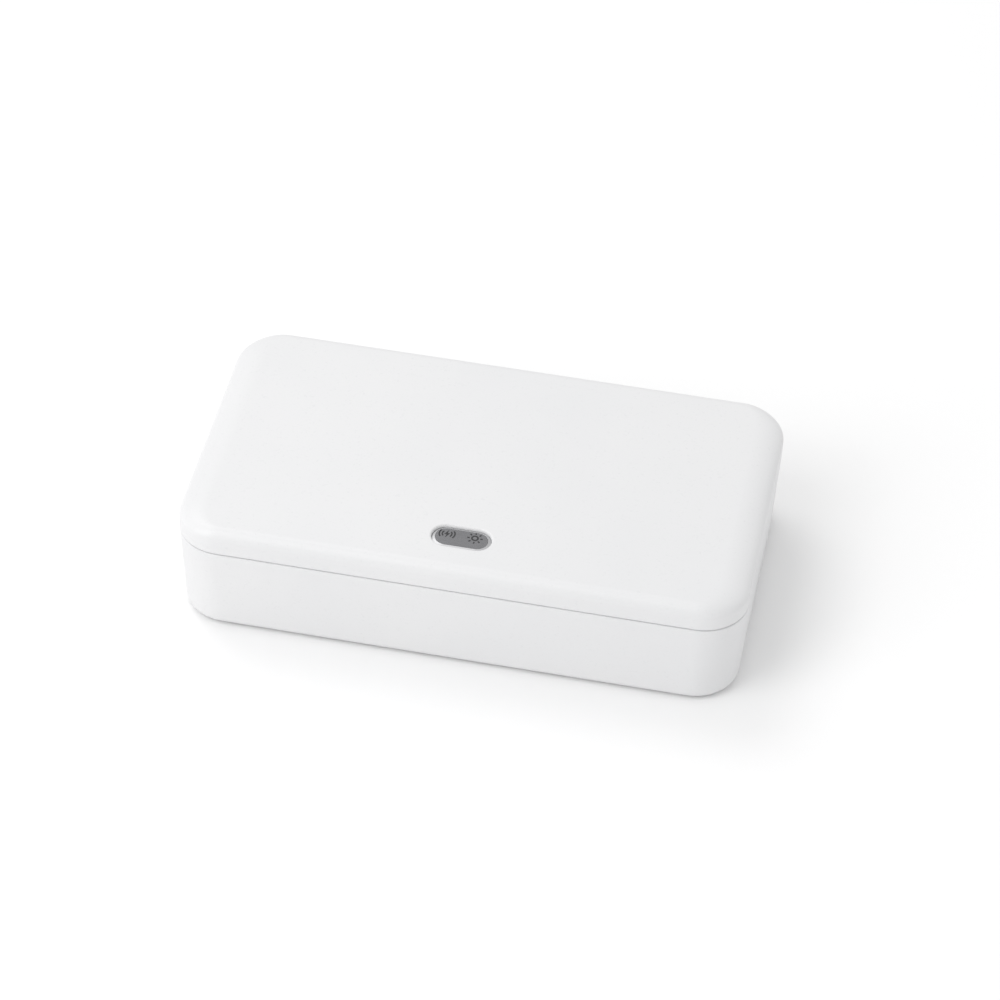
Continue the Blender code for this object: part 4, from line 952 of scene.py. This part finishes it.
def make_screws(body, seat_z, head_r, head_h, length):
    """Pan-head screws with a cross recess and thread ridges."""
    for name, x, y in CORNERS:
        node = body + "_screw_" + name
        root = SCREW_R - THREAD_DEPTH
        profile = [(0.05 * MM, -head_h)]
        profile += [
            (head_r * math.sin(t), -GAP - (head_h - GAP) * math.cos(t) ** 0.7)
            for t in (0.35, 0.6, 0.85, 1.1, 1.3, 1.45)
        ]
        profile += [(head_r, -GAP - 0.05 * MM), (head_r - 0.05 * MM, -GAP), (root, -GAP)]
        at = 0.4 * MM
        while at < length - 1.2 * MM:
            profile += [(root, at), (SCREW_R, at + 0.2 * MM)]
            profile += [(SCREW_R, at + 0.26 * MM), (root, at + 0.42 * MM)]
            at += THREAD_PITCH
        profile += [(root, length - 0.9 * MM), (0.35 * MM, length)]
        depth = head_h * 0.6
        arm, slim = head_r * 0.55, head_r * 0.13
        steps = []
        for long_x, long_y in ((arm, slim), (slim, arm)):
            steps.append(("cut", loft([
                [
                    Vector((x + u * long_x * k, y + v * long_y * k, seat_z - head_h + z))
                    for u, v in ((-1, -1), (1, -1), (1, 1), (-1, 1))
                ]
                for k, z in ((1.15, -0.2 * MM), (0.6, depth))
            ])))
        screw = turned(profile, (x, y, seat_z), (0, 0, 1), 32)
        piece(node + "_fine", screw, STEEL, body, node, steps)


def make_discs():
    """Magnets and hinge pins: turned, with small chamfers."""
    chamfer = 0.2 * MM
    magnets = [(body + "_catch_magnet_" + name, body) for body in ("base", "lid") for name, _ in SIDES]
    for node, body in magnets + [("sensor_magnet", "lid")]:
        low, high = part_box(node)
        middle = (low + high) / 2
        start, end = (middle.x, middle.y, low.z), (middle.x, middle.y, high.z)
        piece(node + "_fine", pin((high.x - low.x) / 2, start, end, chamfer), NICKEL, body, node)
    for name, _ in SIDES:
        node = "hinge_pin_" + name
        low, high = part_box(node)
        start, end = (low.x, HINGE_Y, SEAM_Z), (high.x, HINGE_Y, SEAM_Z)
        piece(node + "_fine", pin(PIN_R, start, end, chamfer, 40), STEEL, "base", node)


def make_usb():
    """A drawn steel shroud with a rounded mouth, and a tongue with gold contacts."""
    node = "usb_inlet"
    low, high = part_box(node)
    half_w, half_h = (high.x - low.x) / 2, (high.z - low.z) / 2
    wall = 0.3 * MM
    near, face = low.y, high.y
    section = [(0.3 * MM, near), (0.1 * MM, near + 0.1 * MM), (0.0, near + 0.3 * MM), (0.0, face - 0.15 * MM),
               (0.05 * MM, face - 0.04 * MM), (0.15 * MM, face), (wall - 0.05 * MM, face - 0.04 * MM),
               (wall, face - 0.2 * MM), (wall, near + 3 * wall), (wall + 0.2 * MM, near + 3 * wall)]
    shape = loft([pill_ring(half_w - inset, half_h - inset, (0, 0), y) for inset, y in section])
    shape.transform(FACING_BACK)
    piece(node + "_fine", shape, STEEL, "base", node)
    tongue_z, tongue_end = 0.35 * MM, near + 3 * wall + 4.4 * MM
    tongue_x = 3.35 * MM
    tongue = plain_box(
        (-tongue_x, near + 2 * wall, USB_Z - tongue_z), (tongue_x, tongue_end, USB_Z + tongue_z),
    )
    edges = [e for e in tongue.edges if all(abs(v.co.y - tongue_end) < 1e-6 for v in e.verts)]
    bmesh.ops.bevel(tongue, geom=edges, offset=0.2 * MM, segments=3, profile=0.5, affect="EDGES")
    piece("usb_tongue", tongue, BLACK, "base")
    strips = []
    for index in range(12):
        x = (index - 5.5) * 0.5 * MM
        for z in (USB_Z - tongue_z - 0.03 * MM, USB_Z + tongue_z - 0.02 * MM):
            strips.append(plain_box(
                (x - 0.14 * MM, near + 4 * wall, z), (x + 0.14 * MM, tongue_end - 0.35 * MM, z + 0.05 * MM),
            ))
    piece("usb_contacts", merged(strips), GOLD, "base")


def tube(points, radius, sides):
    """A round tube along points, with flat ends."""
    rings = []
    side = None
    for index, point in enumerate(points):
        before = points[max(index - 1, 0)]
        after = points[min(index + 1, len(points) - 1)]
        along = (after - before).normalized()
        if side is None:
            side = along.orthogonal().normalized()
        side = (side - along * side.dot(along)).normalized()
        other = along.cross(side)
        rings.append([
            point + radius * (math.cos(a) * side + math.sin(a) * other)
            for a in (2 * math.pi * step / sides for step in range(sides))
        ])
    return loft(rings)


def through(route, steps):
    """Points on a smooth curve through the route, with steps points to each of its stretches."""
    ends = [2 * route[0] - route[1]] + route + [2 * route[-1] - route[-2]]
    points = []
    for before, start, end, after in zip(ends, ends[1:], ends[2:], ends[3:]):
        for index in range(steps):
            t = index / steps
            points.append(
                0.5 * (2 * start + (end - before) * t + (2 * before - 5 * start + 4 * end - after) * t ** 2
                       + (3 * start - before - 3 * end + after) * t ** 3)
            )
    return points + [route[-1]]


def make_leads():
    """The two halves of the lead between base and lid, from their pockets into the middle barrel."""
    bend = KNUCKLE_R
    near, far = LEAD_WINDOW
    for name, side, body in (("lower", -1, "base"), ("upper", 1, "lid")):
        route = [
            Vector((side * (x + u * bend), y + v * bend, SEAM_Z + side * w * bend))
            for x, u, y, v, w in (
                (far, 4.0, RAIL_Y, -1.3, 2.2), (far, 2.0, RAIL_Y, -1.25, 1.9), (far, 0.2, RAIL_Y, -0.8, 1.5),
                (far, -1.3, HINGE_Y, -0.95, 0.75), (near, 0.7, HINGE_Y, -0.15, 0.12),
                (near, -0.5, HINGE_Y, 0, 0), (GAP, 0, HINGE_Y, 0, 0),
            )
        ]
        node = "lid_lead_" + name
        piece(node + "_fine", tube(through(route, 10), LEAD_RADIUS, 20), JACKET, body, node)


def make_coil():
    """Flat spiral winding of enamelled wire."""
    low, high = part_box("charging_coil")
    wire = (high.z - low.z) / 2
    middle_z = (low.z + high.z) / 2
    inner, outer = COIL_HOLE + wire, high.x - wire
    turns = int((outer - inner) / (2 * wire * 1.04))
    points = []
    for step in range(turns * COIL_STEPS + 1):
        angle = 2 * math.pi * step / COIL_STEPS
        radius = inner + (outer - inner) * step / (turns * COIL_STEPS)
        points.append(Vector((radius * math.cos(angle), radius * math.sin(angle), middle_z)))
    piece("charging_coil_fine", tube(points, wire * 0.97, 12), COPPER, "lid", "charging_coil")


def make_icons():
    """Printed icons: a bolt between two pairs of arcs for charging, a sun for the lamp."""
    low, high = CAP_HIGH.z - ICON_SUNK, CAP_HIGH.z + ICON_RAISED

    def flat(outline):
        return loft([[Vector((x, y, z)) for x, y in outline] for z in (low, high)])

    def band(centre, radius, width, start, end, steps=16):
        outer, inner = [], []
        for step in range(steps + 1):
            a = math.radians(start + (end - start) * step / steps)
            for r, line in ((radius + width / 2, outer), (radius - width / 2, inner)):
                line.append((centre[0] + r * math.cos(a), centre[1] + r * math.sin(a)))
        return flat(outer + inner[::-1])

    centre = (BUTTON_X - 6.1 * MM, BUTTON_Y + 1.7 * MM)
    shapes = []
    for facing in (0, 180):
        for radius, spread in ((1.9 * MM, 44), (3.1 * MM, 38)):
            shapes.append(band(centre, radius, 0.6 * MM, facing - spread, facing + spread))
    bolt = [(0.45, 2.3), (-1.1, -0.3), (-0.15, -0.3), (-0.45, -2.3), (1.1, 0.45), (0.15, 0.45)]
    shapes.append(flat([(centre[0] + x * MM, centre[1] + y * MM) for x, y in bolt]))
    piece("icon_charge", merged(shapes), INK, "button")
    centre = (BUTTON_X + 5.1 * MM, BUTTON_Y + 1.5 * MM)
    shapes = [band(centre, 1.2 * MM, 0.7 * MM, start, end, 24) for start, end in ((-179.5, 0), (0.5, 180))]
    for index in range(8):
        a = math.radians(45 * index)
        along = Vector((math.cos(a), math.sin(a)))
        across = Vector((-along.y, along.x)) * 0.3 * MM
        near, far = Vector(centre) + along * 2.1 * MM, Vector(centre) + along * 3.1 * MM
        shapes.append(flat([near - across, far - across, far + across, near + across]))
    piece("icon_lamp", merged(shapes), INK, "button")


# ---- the rest of the CAD nodes

def dress_nodes():
    """Give every CAD node its finish by its name."""
    by_name = (
        ("lamp_cap", CAP_WHITE), ("_lamp", QUARTZ), ("rib", CLEAR), ("pipe", CLEAR), ("led_", CLEAR),
        ("board", CIRCUIT), ("capacitor", ALUMINIUM), ("magnet", NICKEL), ("screw", STEEL), ("pin", STEEL),
        ("usb", STEEL), ("foot", RUBBER), ("lead", JACKET), ("coil", COPPER), ("ferrite", FERRITE),
        ("liner", MIRROR), ("shell", WHITE), ("cap", BUTTON_METAL),
    )
    for name, node in frame["nodes"].items():
        finish = next((finish for part, finish in by_name if part in name), BLACK)
        node.data.materials.clear()
        node.data.materials.append(finish)


dress_nodes()
make_lid_shell()
make_base_shell()
make_base_liner()
make_lid_liner()
make_button()
make_icons()
make_lamp("lower", "base")
make_lamp("upper", "lid")
make_ribs()
make_feet()
make_screws("base", SCREW_SEAT_Z, SCREW_HEAD_R, BASE_HEAD_HEIGHT, BASE_SCREW_LENGTH)
make_screws("lid", LID_SCREW_Z, LID_HEAD_R, LID_HEAD_HEIGHT, LID_SCREW_LENGTH)
make_discs()
make_usb()
make_leads()
make_coil()


# ---- stage, light and camera

def make_floor():
    """A wide, pale, matt floor."""
    made = Finish("pale_floor", Roughness=0.9)
    made.shader.inputs["Specular IOR Level"].default_value = 0.1
    cloud = made.spread(made.noise(3, 2), 0.3, 0.7)
    made.colour(made.blend(cloud, (0.938, 0.938, 0.938), (0.934, 0.934, 0.935)))
    shape = bmesh.new()
    bmesh.ops.create_grid(shape, x_segments=1, y_segments=1, size=6.0)
    floor = new_object("floor", shape)
    floor.data.materials.append(made.material)


def outward(azimuth, elevation):
    """The direction from the object towards a place seen at these angles; azimuth 0 is the front."""
    flat = math.cos(elevation)
    return Vector((math.sin(azimuth) * flat, -math.cos(azimuth) * flat, math.sin(elevation)))


def area_light(name, place, size, watts):
    """A round soft light that faces the origin."""
    lamp = bpy.data.lights.new(name, "AREA")
    lamp.shape = "DISK"
    lamp.size = size
    lamp.energy = watts
    made = bpy.data.objects.new(name, lamp)
    made.location = place
    made.rotation_mode = "QUATERNION"
    made.rotation_quaternion = (-place).to_track_quat("-Z", "Y")
    bpy.context.scene.collection.objects.link(made)


def make_light():
    """An even sky, and three soft lights from the left."""
    world = bpy.data.worlds.new("studio")
    bpy.context.scene.world = world
    world.use_nodes = True
    sky = world.node_tree.nodes["Background"]
    sky.inputs["Color"].default_value = (1.0, 1.0, 1.0, 1.0)
    sky.inputs["Strength"].default_value = SKY_STRENGTH
    for name, azimuth, elevation, watts in (
        ("soft_rear_left", 225, 55, 7.0), ("soft_front_left_low", 315, 30, 7.4),
        ("soft_front_left_high", 315, 55, 6.3),
    ):
        towards = outward(math.radians(azimuth), math.radians(elevation))
        area_light(name, LIGHT_DISTANCE * towards, LIGHT_SIZE, watts)


def make_camera():
    """A long lens, up and to the right of the front, rolled a little."""
    azimuth, elevation, roll = CAMERA_TURN
    back = outward(azimuth, elevation)
    right = (-back).cross(Vector((0, 0, 1))).normalized()
    up = right.cross(-back)
    turned_right = math.cos(roll) * right + math.sin(roll) * up
    turned_up = math.cos(roll) * up - math.sin(roll) * right
    data = bpy.data.cameras.new("camera")
    data.lens = CAMERA_LENS
    data.sensor_width = SENSOR_WIDTH
    camera = bpy.data.objects.new("camera", data)
    axes = Matrix((turned_right, turned_up, back)).transposed()
    place = CAMERA_TARGET + CAMERA_DISTANCE * back
    camera.matrix_world = Matrix.LocRotScale(place, axes.to_quaternion(), None)
    bpy.context.scene.collection.objects.link(camera)
    bpy.context.scene.camera = camera


make_floor()
make_light()
make_camera()
bpy.context.scene.view_settings.view_transform = "Standard"
